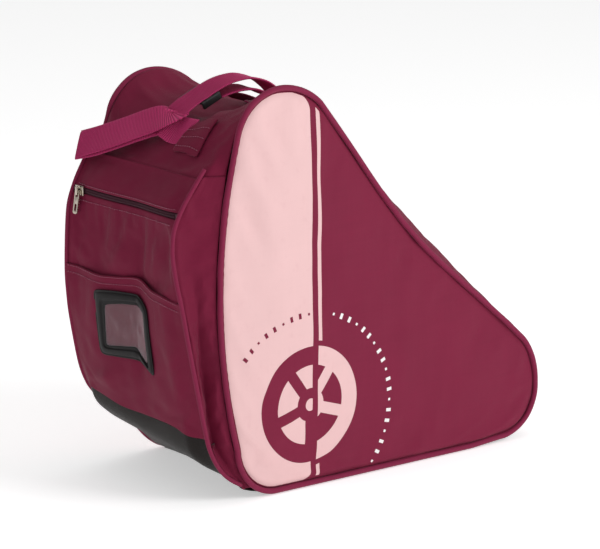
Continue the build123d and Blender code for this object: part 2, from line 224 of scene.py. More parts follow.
def rumple(points, size, height, seed):
    """Small uneven waves over a grid, of about this size, fading to nothing at its border."""
    rows, cols = points.shape[:2]
    normals = grid_normals(points)
    wave = np.zeros((rows, cols))
    for i in range(rows):
        for j in range(cols):
            p = Vector(points[i, j]) / size + Vector((seed, seed * 1.7, 0))
            wave[i, j] = noise.fractal(p, 1.0, 2.0, 2)
    r = np.minimum(np.arange(rows), np.arange(rows)[::-1])[:, None] / 5
    c = np.minimum(np.arange(cols), np.arange(cols)[::-1])[None, :] / 5
    wave *= np.clip(r, 0, 1) * np.clip(c, 0, 1)
    return points + normals * (height * wave)[..., None]


# ---------------------------------------------------------------- meshes
def make_object(name, vertices, faces, uvs=None, smooth=True):
    """A mesh object at the origin from points in millimetres, with its own UV map in metres."""
    mesh = bpy.data.meshes.new(name)
    mesh.from_pydata([tuple(v) for v in tucked(vertices) * MM], [], faces)
    if uvs is not None:
        layer = mesh.uv_layers.new(name="UVMap")
        index = np.zeros(len(mesh.loops), int)
        mesh.loops.foreach_get("vertex_index", index)
        layer.data.foreach_set("uv", (np.array(uvs)[index] * MM).ravel().astype(np.float32))
    mesh.polygons.foreach_set("use_smooth", [smooth] * len(mesh.polygons))
    mesh.update()
    obj = bpy.data.objects.new(name, mesh)
    bpy.context.scene.collection.objects.link(obj)
    return obj


def grid_object(name, points):
    """A sheet through a grid of points, facing outwards, with UVs measured along it."""
    rows, cols = points.shape[:2]
    across = np.linalg.norm(np.diff(points, axis=1), axis=2).mean(0)
    along = np.linalg.norm(np.diff(points, axis=0), axis=2).mean(1)
    u = np.concatenate([[0], np.cumsum(across)])
    v = np.concatenate([[0], np.cumsum(along)])
    uvs = np.stack(np.meshgrid(u, v), axis=-1).reshape(-1, 2)
    faces = []
    for i in range(rows - 1):
        for j in range(cols - 1):
            k = i * cols + j
            faces.append((k, k + 1, k + cols + 1, k + cols))
    a = points[1:, :-1] - points[:-1, :-1]
    b = points[:-1, 1:] - points[:-1, :-1]
    facing = np.cross(b, a)
    outward = points[:-1, :-1] - np.array((INSIDE[0], 0, INSIDE[1]))
    if np.sum(facing * outward) < 0:
        faces = [f[::-1] for f in faces]
    return make_object(name, points.reshape(-1, 3), faces, uvs)


def baked(obj):
    """The object with its modifiers made part of its mesh."""
    bpy.context.view_layer.update()
    evaluated = obj.evaluated_get(bpy.context.evaluated_depsgraph_get())
    mesh = bpy.data.meshes.new_from_object(evaluated)
    mesh.name = obj.name
    obj.modifiers.clear()
    obj.data = mesh
    return obj


def thicken(obj, thickness, levels=1):
    """Smooths a sheet once and gives it its thickness inwards, with a closed rim."""
    if levels:
        smoother = obj.modifiers.new("smooth", "SUBSURF")
        smoother.levels = levels
        smoother.render_levels = levels
    wall = obj.modifiers.new("wall", "SOLIDIFY")
    wall.thickness = thickness * MM
    wall.offset = -1
    wall.use_even_offset = True
    return baked(obj)


def frames_along(path, closed, up):
    """Tangent, side and up vectors at each point of a path, turning as little as they can."""
    if closed:
        tangents = np.roll(path, -1, axis=0) - np.roll(path, 1, axis=0)
    else:
        tangents = np.gradient(path, axis=0)
    tangents /= np.linalg.norm(tangents, axis=1, keepdims=True)
    ups, side = [], []
    previous = np.array(up, float)
    for t in tangents:
        previous = previous - t * (previous @ t)
        previous /= np.linalg.norm(previous)
        ups.append(previous)
        side.append(np.cross(t, previous))
    return tangents, np.array(side), np.array(ups)


def tube(name, path, radius, closed=False, sides=14, up=RIGHT):
    """A round cord along a path, with closed ends."""
    path = np.array(path, float)
    _, side, ups = frames_along(path, closed, up)
    radius = np.broadcast_to(np.array(radius, float), (len(path),))
    turn = np.linspace(0, 2 * math.pi, sides, endpoint=False)
    rings = path[:, None] + radius[:, None, None] * (
        np.cos(turn)[None, :, None] * side[:, None] + np.sin(turn)[None, :, None] * ups[:, None])
    count = len(path)
    steps = np.linalg.norm(np.diff(path, axis=0), axis=1)
    v = np.concatenate([[0], np.cumsum(steps)])
    u = np.arange(sides) / sides * 2 * math.pi * float(radius.mean())
    uvs = np.stack(np.meshgrid(u, v), axis=-1).reshape(-1, 2)
    faces = []
    for i in range(count if closed else count - 1):
        for j in range(sides):
            n, m = (i + 1) % count, (j + 1) % sides
            faces.append((i * sides + j, n * sides + j, n * sides + m, i * sides + m))
    if not closed:
        faces.append(tuple(range(sides)))
        faces.append(tuple(reversed(range((count - 1) * sides, count * sides))))
    obj = make_object(name, rings.reshape(-1, 3), faces, uvs)
    return facing_out(obj)


def facing_out(obj):
    bm = bmesh.new()
    bm.from_mesh(obj.data)
    bmesh.ops.recalc_face_normals(bm, faces=bm.faces)
    bm.to_mesh(obj.data)
    bm.free()
    return obj


def placed(obj, body, slot, *nodes, material=None):
    """Gives a finished piece its material and body, and hides the CAD nodes that it stands for. The slot is not used.
    """
    if material is not None:
        obj.data.materials.clear()
        obj.data.materials.append(material)
    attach(obj, body)
    if nodes:
        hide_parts(*nodes)
    return obj


# ---------------------------------------------------------------- finishes
class Value:
    """A node's output that ordinary arithmetic can be written on."""

    def __init__(self, tree, source):
        self.tree, self.source = tree, source

    def do(self, operation, other=None, third=None):
        made = self.tree.nodes.new("ShaderNodeMath")
        made.operation = operation
        for socket, value in zip(made.inputs, (self, other, third)):
            if isinstance(value, Value):
                self.tree.links.new(value.source, socket)
            elif value is not None:
                socket.default_value = value
        return Value(self.tree, made.outputs[0])

    def __add__(self, other):
        return self.do("ADD", other)

    def __sub__(self, other):
        return self.do("SUBTRACT", other)

    def __mul__(self, other):
        return self.do("MULTIPLY", other)

    def __truediv__(self, other):
        return self.do("DIVIDE", other)

    def __lt__(self, other):
        return self.do("LESS_THAN", other)

    def __gt__(self, other):
        return self.do("GREATER_THAN", other)

    def __abs__(self):
        return self.do("ABSOLUTE")

    def least(self, other):
        return self.do("MINIMUM", other)

    def most(self, other):
        return self.do("MAXIMUM", other)

    def inverse(self):
        return (self * -1.0) + 1.0


def node(tree, kind, inputs=(), **settings):
    """A node with its settings; each input is a value, a socket or a Value."""
    made = tree.nodes.new(kind)
    for key, value in settings.items():
        setattr(made, key, value)
    for key, value in dict(inputs).items():
        if isinstance(value, Value):
            value = value.source
        if isinstance(value, bpy.types.NodeSocket):
            tree.links.new(value, made.inputs[key])
        else:
            made.inputs[key].default_value = value
    return made


def shader_group(name, inputs, outputs):
    tree = bpy.data.node_groups.new(name, "ShaderNodeTree")
    for label, kind, value in inputs:
        socket = tree.interface.new_socket(label, in_out="INPUT", socket_type="NodeSocket" + kind)
        if value is not None:
            socket.default_value = value
    for label, kind in outputs:
        tree.interface.new_socket(label, in_out="OUTPUT", socket_type="NodeSocket" + kind)
    return tree, tree.nodes.new("NodeGroupInput"), tree.nodes.new("NodeGroupOutput")


def split(tree, vector):
    parts = node(tree, "ShaderNodeSeparateXYZ", {"Vector": vector})
    return [Value(tree, s) for s in parts.outputs]


def make_weave():
    """Plain weave: the height of the threads, and a shade that differs from thread to thread."""
    tree, given, result = shader_group(
        "plain weave",
        [("Coordinates", "Vector", None), ("Pitch", "Float", 0.0008)],
        [("Height", "Float"), ("Shade", "Float")])
    turns = node(tree, "ShaderNodeVectorMath", {0: given.outputs["Coordinates"]}, operation="DIVIDE")
    pitch = node(tree, "ShaderNodeCombineXYZ", {k: given.outputs["Pitch"] for k in "XYZ"})
    tree.links.new(pitch.outputs[0], turns.inputs[1])
    u, v, _ = split(tree, turns.outputs[0])
    height = (u * (2 * math.pi)).do("SINE") * (v * (2 * math.pi)).do("SINE") * 0.5 + 0.5
    shade = None
    for scale in ((0.35, 0.018, 1.0), (0.018, 0.35, 1.0)):
        stretched = node(tree, "ShaderNodeMapping", {"Vector": turns.outputs[0], "Scale": scale})
        streaks = node(tree, "ShaderNodeTexNoise", {"Vector": stretched.outputs[0], "Scale": 1.0, "Detail": 2.0})
        part = Value(tree, streaks.outputs[0]) * 0.5
        shade = part if shade is None else shade + part
    tree.links.new(height.source, result.inputs["Height"])
    tree.links.new(shade.source, result.inputs["Shade"])
    return tree


def make_handling():
    """Uneven colour and rub marks of a bag that has been carried: two masks, 0 to 1."""
    tree, given, result = shader_group(
        "handling", [("Size", "Float", 0.05)], [("Mottle", "Float"), ("Rub", "Float")])
    place = node(tree, "ShaderNodeTexCoord").outputs["Object"]
    scaled = node(tree, "ShaderNodeVectorMath", {0: place}, operation="DIVIDE")
    size = node(tree, "ShaderNodeCombineXYZ", {k: given.outputs["Size"] for k in "XYZ"})
    tree.links.new(size.outputs[0], scaled.inputs[1])
    mottle = node(tree, "ShaderNodeTexNoise", {"Vector": scaled.outputs[0], "Scale": 1.0, "Detail": 5.0})
    marks = node(tree, "ShaderNodeTexNoise", {"Vector": scaled.outputs[0], "Scale": 7.0, "Detail": 8.0})
    rub = node(tree, "ShaderNodeMapRange", {"Value": marks.outputs[0], "From Min": 0.58, "From Max": 0.8})
    tree.links.new(mottle.outputs[0], result.inputs["Mottle"])
    tree.links.new(rub.outputs[0], result.inputs["Rub"])
    return tree


WEAVE = make_weave()
HANDLING = make_handling()


def linear(colour):
    """A colour given as 0 to 255 in sRGB, as the linear one that a shader takes."""
    made = []
    for c in colour:
        c = c / 255
        made.append(c / 12.92 if c <= 0.04045 else ((c + 0.055) / 1.055) ** 2.4)
    return (*made, 1.0)


def new_material(name):
    material = bpy.data.materials.new(name)
    material.use_nodes = True
    tree = material.node_tree
    tree.nodes.clear()
    shader = tree.nodes.new("ShaderNodeBsdfPrincipled")
    out = tree.nodes.new("ShaderNodeOutputMaterial")
    tree.links.new(shader.outputs[0], out.inputs[0])
    return material, tree, shader


def set_shader(shader, **values):
    for label, value in values.items():
        shader.inputs[label.replace("_", " ")].default_value = value


def blend_colour(tree, factor, a, b):
    mix = node(tree, "ShaderNodeMix", data_type="RGBA")
    for index, value in ((0, factor), (6, a), (7, b)):
        if isinstance(value, Value):
            value = value.source
        if isinstance(value, bpy.types.NodeSocket):
            tree.links.new(value, mix.inputs[index])
        else:
            mix.inputs[index].default_value = value
    return mix.outputs[2]


def darker(colour, share):
    return (*[c * share for c in linear(colour)[:3]], 1.0)


def cloth_finish(name, colour, pitch, roughness=0.66, sheen=0.06, depth=0.35, flat=False, printed=None,
                 variation=0.22, ribs=0.0):
    """Woven cloth: threads, with painted shade in the dips of the weave and of any ribs, thread to thread shade,
    mottling and rub marks.
    """
    material, tree, shader = new_material(name)
    coordinates = node(tree, "ShaderNodeTexCoord")
    place = coordinates.outputs["UV"]
    if flat:
        x, _, z = split(tree, coordinates.outputs["Object"])
        place = node(tree, "ShaderNodeCombineXYZ", {"X": x, "Y": z}).outputs[0]
    weave = node(tree, "ShaderNodeGroup", node_tree=WEAVE)
    tree.links.new(place, weave.inputs["Coordinates"])
    weave.inputs["Pitch"].default_value = pitch * MM
    handling = node(tree, "ShaderNodeGroup", node_tree=HANDLING)
    handling.inputs["Size"].default_value = 0.06
    height = Value(tree, weave.outputs["Height"])
    shade = Value(tree, weave.outputs["Shade"])
    if ribs:
        _, v, _ = split(tree, place)
        height = (v * (2 * math.pi / (ribs * MM))).do("COSINE") * 0.4 + 0.5 + height * 0.2
    mottle = Value(tree, handling.outputs["Mottle"])
    rub = Value(tree, handling.outputs["Rub"])
    # The tone is partly painted shade: the height of the weave, and of the ribs on webbing, makes the colour lighter
    # on the crests and darker in the dips. The thread to thread shade and the mottle are the cloth's own uneven
    # colour.
    tone = height * (1.0 if ribs else 0.35) + shade * (0.15 if ribs else 0.4) + mottle * 0.35
    cloth = blend_colour(tree, tone, darker(colour, 1 - variation), darker(colour, 1 + variation))
    if printed:
        cloth = printed(tree, cloth, tone)
    worn = blend_colour(tree, rub * 0.06, cloth, darker(colour, 1.7))
    tree.links.new(worn, shader.inputs["Base Color"])
    rough = mottle * 0.12 + rub * 0.08 + (roughness - 0.08)
    tree.links.new(rough.source, shader.inputs["Roughness"])
    bump = node(tree, "ShaderNodeBump", {"Height": height, "Strength": depth, "Distance": pitch * MM * 0.3})
    tree.links.new(bump.outputs[0], shader.inputs["Normal"])
    set_shader(shader, Sheen_Weight=sheen, Sheen_Roughness=0.4, Specular_IOR_Level=0.12)
    return material


BURGUNDY = (120, 30, 58)
PINK = (229, 190, 190)


def make_design():
    """The printed design on a side panel: masks for its pink and its white parts."""
    tree, given, result = shader_group(
        "printed design", [("Inset", "Float", 0.0)], [("Pink", "Float"), ("White", "Float")])
    x, _, z = split(tree, node(tree, "ShaderNodeTexCoord").outputs["Object"])
    x, z = x / MM, z / MM
    inset = Value(tree, given.outputs["Inset"])

    def rounded(to_side, radius, margin):
        """Inside both the side line and the panel's border, with a round corner."""
        a = (to_side * -1.0 + radius).most(0.0)
        b = (inset * -1.0 + (radius + margin)).most(0.0)
        return (a * a + b * b).do("SQRT") < radius

    field = rounded(x * -1.0 + PINK_EDGE, 9.0, 3.0)
    line_middle = (LINE_LOW + LINE_HIGH) / 2
    line = abs(x - line_middle) < (LINE_HIGH - LINE_LOW) / 2
    line = line * (inset > 5.0)
    dx, dz = x - RING[0], z - RING[1]
    radius = (dx * dx + dz * dz).do("SQRT")
    angle = dz.do("ARCTAN2", dx) * (180 / math.pi)

    # The wheel mark: a tyre, five spokes and a hub, and a clear margin round them.
    wx, wz = x - WHEEL[0], z - WHEEL[1]
    reach = (wx * wx + wz * wz).do("SQRT")
    tyre = abs(reach - 47.0) < 9.0
    spoke_turn = (wz.do("ARCTAN2", wx) * (180 / math.pi) + 90.0) / 72.0
    spoke_middle = abs(spoke_turn - spoke_turn.do("ROUND")) * (72.0 * math.pi / 180) * reach
    spokes = (spoke_middle < 5.5) * (reach < 40.0) * (reach > 12.0)
    hub = abs(reach - 11.0) < 5.0
    wheel = tyre.most(spokes).most(hub)
    near_wheel = reach < 61.0
    band = (x > PINK_EDGE) * (x < LINE_LOW)
    pink_side = x < PINK_EDGE
    pink = (field * (near_wheel * wheel).inverse()).most(line * near_wheel.inverse())
    pink = pink.most(wheel * (pink_side.most(band)).inverse())

    # The ring of plain ticks, where each third is a dot.
    step = angle / 6.0
    cell = step.do("ROUND")
    across = abs(step - cell) * (6.0 * math.pi / 180) * radius
    dot = ((cell + 60.0).do("MODULO", 3.0)) < 0.5
    half_height = dot.inverse() * 1.5 + 1.2
    half_width = dot.inverse() * 0.4 + 1.2
    height_ok = (abs(radius - RING_R) - half_height) < 0.0
    width_ok = (across - half_width) < 0.0
    left = (angle > 88.0) * (angle < 142.0)
    right = (angle < 74.0) * (angle > -41.0)
    ticks = height_ok * width_ok * left.most(right)
    pink = pink * (ticks * pink_side).inverse()
    white = ticks * pink_side.inverse()
    tree.links.new(pink.source, result.inputs["Pink"])
    tree.links.new(white.source, result.inputs["White"])
    return tree


DESIGN = make_design()


def print_over(tree, cloth, tone):
    design = node(tree, "ShaderNodeGroup", node_tree=DESIGN)
    inset = node(tree, "ShaderNodeAttribute", attribute_name="inset")
    tree.links.new(inset.outputs["Fac"], design.inputs["Inset"])
    # The ink and the white follow the cloth's tone, so they carry its painted shade in the weave's dips as well as
    # its uneven colour.
    ink = blend_colour(tree, tone, darker(PINK, 0.94), darker(PINK, 1.04))
    white = blend_colour(tree, tone, linear((226, 222, 222)), linear((246, 244, 243)))
    with_pink = blend_colour(tree, design.outputs["Pink"], cloth, ink)
    return blend_colour(tree, design.outputs["White"], with_pink, white)


def plastic_finish(name, colour, roughness, grain=0.0006, depth=0.25, coat=0.0, metallic=0.0, variation=0.15, specular=0.5):
    """Moulded, coated or plated surfaces: fine grain with painted shade in its pits, uneven tone and rubbed spots."""
    material, tree, shader = new_material(name)
    place = node(tree, "ShaderNodeTexCoord").outputs["Object"]
    cells = node(tree, "ShaderNodeTexVoronoi", {"Vector": place, "Scale": 1 / grain})
    handling = node(tree, "ShaderNodeGroup", node_tree=HANDLING)
    handling.inputs["Size"].default_value = 0.012
    height = Value(tree, cells.outputs["Distance"])
    mottle = Value(tree, handling.outputs["Mottle"])
    rub = Value(tree, handling.outputs["Rub"])
    # The tone is partly painted shade: the grain is lighter where it stands up and darker in its pits. The mottle is
    # the surface's own uneven colour.
    tone = mottle * 0.7 + height * 0.3
    colours = blend_colour(tree, tone, darker(colour, 1 - variation), darker(colour, 1 + variation))
    worn = blend_colour(tree, rub * 0.25, colours, darker(colour, 1.5))
    tree.links.new(worn, shader.inputs["Base Color"])
    rough = mottle * 0.14 + rub * 0.16 + (roughness - 0.07)
    tree.links.new(rough.source, shader.inputs["Roughness"])
    bump = node(tree, "ShaderNodeBump", {"Height": height, "Strength": depth, "Distance": grain * 0.3})
    tree.links.new(bump.outputs[0], shader.inputs["Normal"])
    set_shader(shader, Metallic=metallic, Coat_Weight=coat, Coat_Roughness=0.2, Specular_IOR_Level=specular)
    return material


def film_finish(name):
    """Clear soft vinyl, slightly scuffed."""
    material, tree, shader = new_material(name)
    handling = node(tree, "ShaderNodeGroup", node_tree=HANDLING)
    handling.inputs["Size"].default_value = 0.02
    rub = Value(tree, handling.outputs["Rub"])
    mottle = Value(tree, handling.outputs["Mottle"])
    tint = blend_colour(tree, mottle, linear((222, 172, 190)), linear((240, 204, 216)))
    tree.links.new(tint, shader.inputs["Base Color"])
    rough = rub * 0.12 + mottle * 0.05 + 0.03
    tree.links.new(rough.source, shader.inputs["Roughness"])
    bump = node(tree, "ShaderNodeBump", {"Height": mottle, "Strength": 0.2, "Distance": 0.0006})
    tree.links.new(bump.outputs[0], shader.inputs["Normal"])
    set_shader(shader, Transmission_Weight=0.96, IOR=1.35, Specular_IOR_Level=0.5)
    return material


PANEL_CLOTH = cloth_finish("printed panel cloth", BURGUNDY, 1.1, flat=True, printed=print_over)
GUSSET_CLOTH = cloth_finish("gusset cloth", (112, 22, 52), 1.0)
PIPING_CLOTH = cloth_finish("piping cloth", (126, 34, 66), 0.9)
LINING_CLOTH = cloth_finish("lining cloth", (44, 36, 40), 0.7, roughness=0.55, sheen=0.1)
# Ribbed webbing: with ribs and a wide variation, its ribs are painted lighter on their crests and darker in their
# grooves. This is strong painted shade over the ribs that the strap's mesh already has.
WEBBING_CLOTH = cloth_finish("ribbed webbing", (158, 44, 90), 1.4, roughness=0.55, sheen=0.1, depth=0.6,
                             variation=0.5, ribs=RIB_PITCH)
TAPE_CLOTH = cloth_finish("zip tape", (74, 24, 44), 0.6, roughness=0.6, depth=0.5)
BASE_CLOTH = cloth_finish("coated base mesh", (32, 27, 25), 1.6, roughness=0.42, sheen=0.0, depth=0.8,
                          variation=0.45)
THREAD = cloth_finish("sewing thread", (150, 62, 92), 0.25, roughness=0.5, sheen=0.4)
BLACK_THREAD = cloth_finish("black thread", (32, 30, 32), 0.25, roughness=0.5)
FOAM = plastic_finish("panel foam", (190, 188, 182), 0.85, grain=0.0012, depth=0.8)
BOARD = plastic_finish("base board plastic", (52, 50, 50), 0.5, grain=0.0015, depth=0.4)
NYLON = plastic_finish("nylon zip teeth", (64, 18, 36), 0.38, grain=0.0008, depth=0.15, specular=0.35)
BLACK_NYLON = plastic_finish("black moulded plastic", (22, 22, 23), 0.4, grain=0.0007, depth=0.3, specular=0.3)
VINYL = plastic_finish("embossed black vinyl", (22, 19, 20), 0.46, grain=0.0011, depth=0.45, specular=0.2)
NICKEL = plastic_finish("worn nickel", (196, 186, 172), 0.26, grain=0.0004, depth=0.05, metallic=1.0)
FILM = film_finish("clear vinyl film")


# ---------------------------------------------------------------- lines that the cloth follows
JOINTS = {j["name"]: j for j in frame["record"]["behaviour"]["joints"]}
ALONG = np.array(JOINTS["main_zip_run"]["axis"])[[0, 2]]
OUT = np.array((-ALONG[1], ALONG[0]))
hinge = np.array(JOINTS["front_flap_open"]["pos_m"])[[0, 2]] / MM
ZIP_TOP = hinge - 191.0 * ALONG + 2.0 * OUT         # start of the main zip's line


def on_slope(s, n):
    """(x, z) at distance s down the main zip's line and n out of it."""
    return ZIP_TOP + np.multiply.outer(s, ALONG) + np.multiply.outer(n, OUT)


def by_height(line):
    order = np.argsort(line[:, 1])
    return line[order, 1], line[order, 0]


HEEL_Z, HEEL_X = by_height(outer_line("front_heel_gusset", -86.6))
SIDE_Z, SIDE_X = by_height(outer_line("front_heel_gusset", -93.9))
# Where the heel's piping runs: x, distance from the middle, z.
HEEL_CORD = np.array([
    (-150, 93.5, 14), (-157, 92.5, 17), (-168, 91, 25), (-178, 91, 38), (-186, 91, 55), (-194, 91, 90),
    (-202, 91, 127), (-208, 90.5, 156), (-213, 88, 189), (-216, 83.5, 213), (-218, 79.5, 238),
    (-216.5, 79, 262), (-206, 80.5, 284), (-194, 82, 301), (-183, 83.5, 316)], float)
# How far the heel face sinks in, by y, at the height of the slip pocket's hem.
RELIEF_Y = (-84, -66, -46, -30, -12, 8, 36, 60, 84)
RELIEF = (3.0, 1.0, 3.5, 8.0, 12.0, 7.0, 2.0, 4.0, 7.0)
HEM_Y = (-90, -74, -62, -42, -17, -2, 34, 72, 90)
HEM_Z = (195, 196, 199, 199, 206, 204, 200, 202, 203)
SEAM_Y = (-91, -71, -62, -46, 0, 26, 51, 64, 82, 91)
SEAM_Z = (67, 65, 69, 70, 67, 65, 71, 74, 72, 71)


def curve_value(value, xs, ys, width=6.0):
    """Interpolated value of a drawn curve, with its kinks rounded."""
    offsets = np.linspace(-width, width, 5)
    return np.mean([np.interp(np.asarray(value) + o, xs, ys) for o in offsets], axis=0)


def cord_at(z):
    """x and distance from the middle of the heel's piping at a height."""
    return (curve_value(z, HEEL_CORD[:, 2], HEEL_CORD[:, 0], 5),
            curve_value(z, HEEL_CORD[:, 2], HEEL_CORD[:, 1], 5))


def heel_x(y, z, sink=1.0):
    """x of the heel's cloth at y and z: the frame's line, sunk in by the folds."""
    strength = sink * np.interp(z, (20, 70, 100, 170, 200, 240, 262, 290, 306),
                                (0.0, 0.2, 0.4, 0.85, 1.0, 0.8, 0.3, 0.25, 0.1))
    middle = np.interp(z, HEEL_Z, HEEL_X) + curve_value(y, RELIEF_Y, RELIEF, 9) * strength
    middle = middle + 2.6 * bump_at(z, 274.5, 8.0)
    cord_x, cord_y = cord_at(z)
    share = smoothstep(np.abs(y), cord_y - 20, cord_y)
    return middle * (1 - share) + cord_x * share


def heel_grid(low, high, rows, cols, out=0.0, sink=1.0, reach=0.0, limit=None):
    """A grid over the heel between its pipings; low and high give its edges' height by y."""
    grid = np.zeros((rows, cols, 3))
    for j, t in enumerate(np.linspace(-1, 1, cols)):
        guess = t * 88.0
        for i, share in enumerate(np.linspace(0, 1, rows)):
            z = low(guess) * (1 - share) + high(guess) * share
            half = cord_at(z)[1] + reach if limit is None else min(cord_at(z)[1], limit)
            y = t * half
            grid[i, j] = (heel_x(y, z, sink) - (out(y, z) if callable(out) else out), y, z)
    return grid


def ruled(sections, ys, cols, rows):
    """A grid through section lines (x, z), each at its own y."""
    lines = np.array([resample(s, rows) for s in sections])
    grid = np.zeros((rows, cols, 3))
    for j, y in enumerate(np.linspace(ys[0], ys[-1], cols)):
        for k in (0, 1):
            grid[:, j, 2 * k] = [np.interp(y, ys, lines[:, i, k]) for i in range(rows)]
        grid[:, j, 1] = y
    return grid


def even(grid, rounds=3):
    """Rounds a grid's creases a little, its border held."""
    grid = grid.copy()
    for _ in range(rounds):
        inner = 0.25 * (grid[:-2, 1:-1] + grid[2:, 1:-1] + grid[1:-1, :-2] + grid[1:-1, 2:])
        grid[1:-1, 1:-1] = 0.5 * grid[1:-1, 1:-1] + 0.5 * inner
    return grid


# ---------------------------------------------------------------- stitches and teeth
seams = {}


def seam(line, body="bag", kind="thread"):
    """Keeps a line of stitching for later; the line lies on the cloth."""
    seams.setdefault((body, kind), []).append(np.array(line, float))


def lifted(grid, distance):
    return grid + grid_normals(grid) * distance


def capsule_tree(name, along_path):
    """Geometry Nodes: short rounded rods set along a path, or across it."""
    tree = bpy.data.node_groups.new(name, "GeometryNodeTree")
    tree.interface.new_socket("Path", in_out="INPUT", socket_type="NodeSocketGeometry")
    for label in ("Pitch", "Length", "Radius"):
        tree.interface.new_socket(label, in_out="INPUT", socket_type="NodeSocketFloat")
    if not along_path:
        tree.interface.new_socket("Across", in_out="INPUT", socket_type="NodeSocketVector")
    tree.interface.new_socket("Finish", in_out="INPUT", socket_type="NodeSocketMaterial")
    tree.interface.new_socket("Rods", in_out="OUTPUT", socket_type="NodeSocketGeometry")
    given, result = tree.nodes.new("NodeGroupInput"), tree.nodes.new("NodeGroupOutput")
    curve = node(tree, "GeometryNodeMeshToCurve", {0: given.outputs["Path"]})
    spaced = tree.nodes.new("GeometryNodeResampleCurve")
    spaced.mode = "LENGTH"
    tree.links.new(curve.outputs[0], spaced.inputs["Curve"])
    tree.links.new(given.outputs["Pitch"], spaced.inputs["Length"])
    rod = tree.nodes.new("GeometryNodeMeshCylinder")
    rod.inputs["Vertices"].default_value = 6
    rod.inputs["Side Segments"].default_value = 2
    tree.links.new(given.outputs["Radius"], rod.inputs["Radius"])
    tree.links.new(given.outputs["Length"], rod.inputs["Depth"])
    turned = tree.nodes.new("FunctionNodeAlignRotationToVector")
    turned.axis = "Z"
    direction = given.outputs["Across"] if not along_path else tree.nodes.new("GeometryNodeInputTangent").outputs[0]
    tree.links.new(direction, turned.inputs["Vector"])
    placed_rods = tree.nodes.new("GeometryNodeInstanceOnPoints")
    tree.links.new(spaced.outputs[0], placed_rods.inputs["Points"])
    tree.links.new(rod.outputs["Mesh"], placed_rods.inputs["Instance"])
    tree.links.new(turned.outputs[0], placed_rods.inputs["Rotation"])
    real = node(tree, "GeometryNodeRealizeInstances", {0: placed_rods.outputs[0]})
    finish = tree.nodes.new("GeometryNodeSetMaterial")
    tree.links.new(real.outputs[0], finish.inputs["Geometry"])
    tree.links.new(given.outputs["Finish"], finish.inputs["Material"])
    tree.links.new(finish.outputs[0], result.inputs[0])
    return tree


STITCHES = capsule_tree("stitches along a seam", True)
TEETH = capsule_tree("zip teeth across a tape", False)


def run_tree(name, lines, tree, material, **values):
    """The tree's result for these lines, in millimetres, as one plain mesh."""
    vertices, edges = [], []
    for line in lines:
        first = len(vertices)
        vertices += [tuple(p) for p in tucked(line) * MM]
        edges += [(first + i, first + i + 1) for i in range(len(line) - 1)]
    mesh = bpy.data.meshes.new(name)
    mesh.from_pydata(vertices, edges, [])
    obj = bpy.data.objects.new(name, mesh)
    bpy.context.scene.collection.objects.link(obj)
    modifier = obj.modifiers.new("rods", "NODES")
    modifier.node_group = tree
    sockets = {s.name: s.identifier for s in tree.interface.items_tree if s.in_out == "INPUT"}
    for label, value in values.items():
        modifier[sockets[label]] = value
    modifier[sockets["Finish"]] = material
    baked(obj)
    obj.data.polygons.foreach_set("use_smooth", [True] * len(obj.data.polygons))
    return obj


def settled(name, points, excess, cap, frames=18):
    """Cloth simulation: a sewn panel cut a little larger than its place, held at its border."""
    rows, cols = points.shape[:2]
    obj = grid_object(name + "_settling", points)
    sewn = obj.vertex_groups.new(name="sewn")
    row, col = np.divmod(np.arange(rows * cols), cols)
    margin = np.minimum(np.minimum(row, rows - 1 - row), np.minimum(col, cols - 1 - col))
    for index, steps in enumerate(margin):
        sewn.add([index], 1.0 if steps < 2 else 0.06, "REPLACE")
    cloth = obj.modifiers.new("cloth", "CLOTH")
    settings = cloth.settings
    settings.vertex_group_mass = "sewn"
    settings.quality = 6
    settings.mass = 0.12
    settings.shrink_min = -excess
    settings.tension_stiffness = 18
    settings.compression_stiffness = 18
    settings.shear_stiffness = 6
    settings.bending_stiffness = 0.25
    settings.effector_weights.gravity = 0.5
    cloth.collision_settings.use_collision = False
    scene = bpy.context.scene
    for step in range(1, frames + 1):
        scene.frame_set(step)
    mesh = obj.evaluated_get(bpy.context.evaluated_depsgraph_get()).to_mesh()
    place = np.zeros(rows * cols * 3)
    mesh.vertices.foreach_get("co", place)
    obj.evaluated_get(bpy.context.evaluated_depsgraph_get()).to_mesh_clear()
    bpy.data.objects.remove(obj)
    scene.frame_set(1)
    move = place.reshape(points.shape) / MM - points
    size = np.maximum(np.linalg.norm(move, axis=-1, keepdims=True), 1e-6)
    print(name, "settled by up to", round(float(size.max()), 1), "mm")
    return even(points + move * cap * np.tanh(size / cap) / size, 1)


def cloth_piece(name, grid, thickness, material, body, slot, *nodes, rough=None, settle=None, levels=1):
    """One sewn panel: its grid, rumpled and settled if asked, with its thickness."""
    if rough:
        grid = rumple(grid, *rough)
    if settle:
        grid = settled(name, grid, *settle)
    obj = grid_object(name, grid)
    thicken(obj, thickness, levels)
    return placed(obj, body, slot, *nodes, material=material), grid


# ---------------------------------------------------------------- side panels and their piping
def offset_loop(loop, distance):
    """A closed clockwise loop, moved inwards."""
    ahead, behind = np.roll(loop, -2, axis=0), np.roll(loop, 2, axis=0)
    tangent = ahead - behind
    tangent /= np.linalg.norm(tangent, axis=1, keepdims=True)
    inward = np.stack([tangent[:, 1], -tangent[:, 0]], axis=1)
    return loop + inward * distance


def even_loop(loop, count):
    closed = np.vstack([loop, loop[:1]])
    return resample(closed, count + 1)[:-1]


outline = even_loop(clockwise(max(cut_loops("front_panel_piping", -97.0), key=length_of)), 360)
CORNERS = ((-152, 22), (-140, 371), (206, 84), (197, 17))


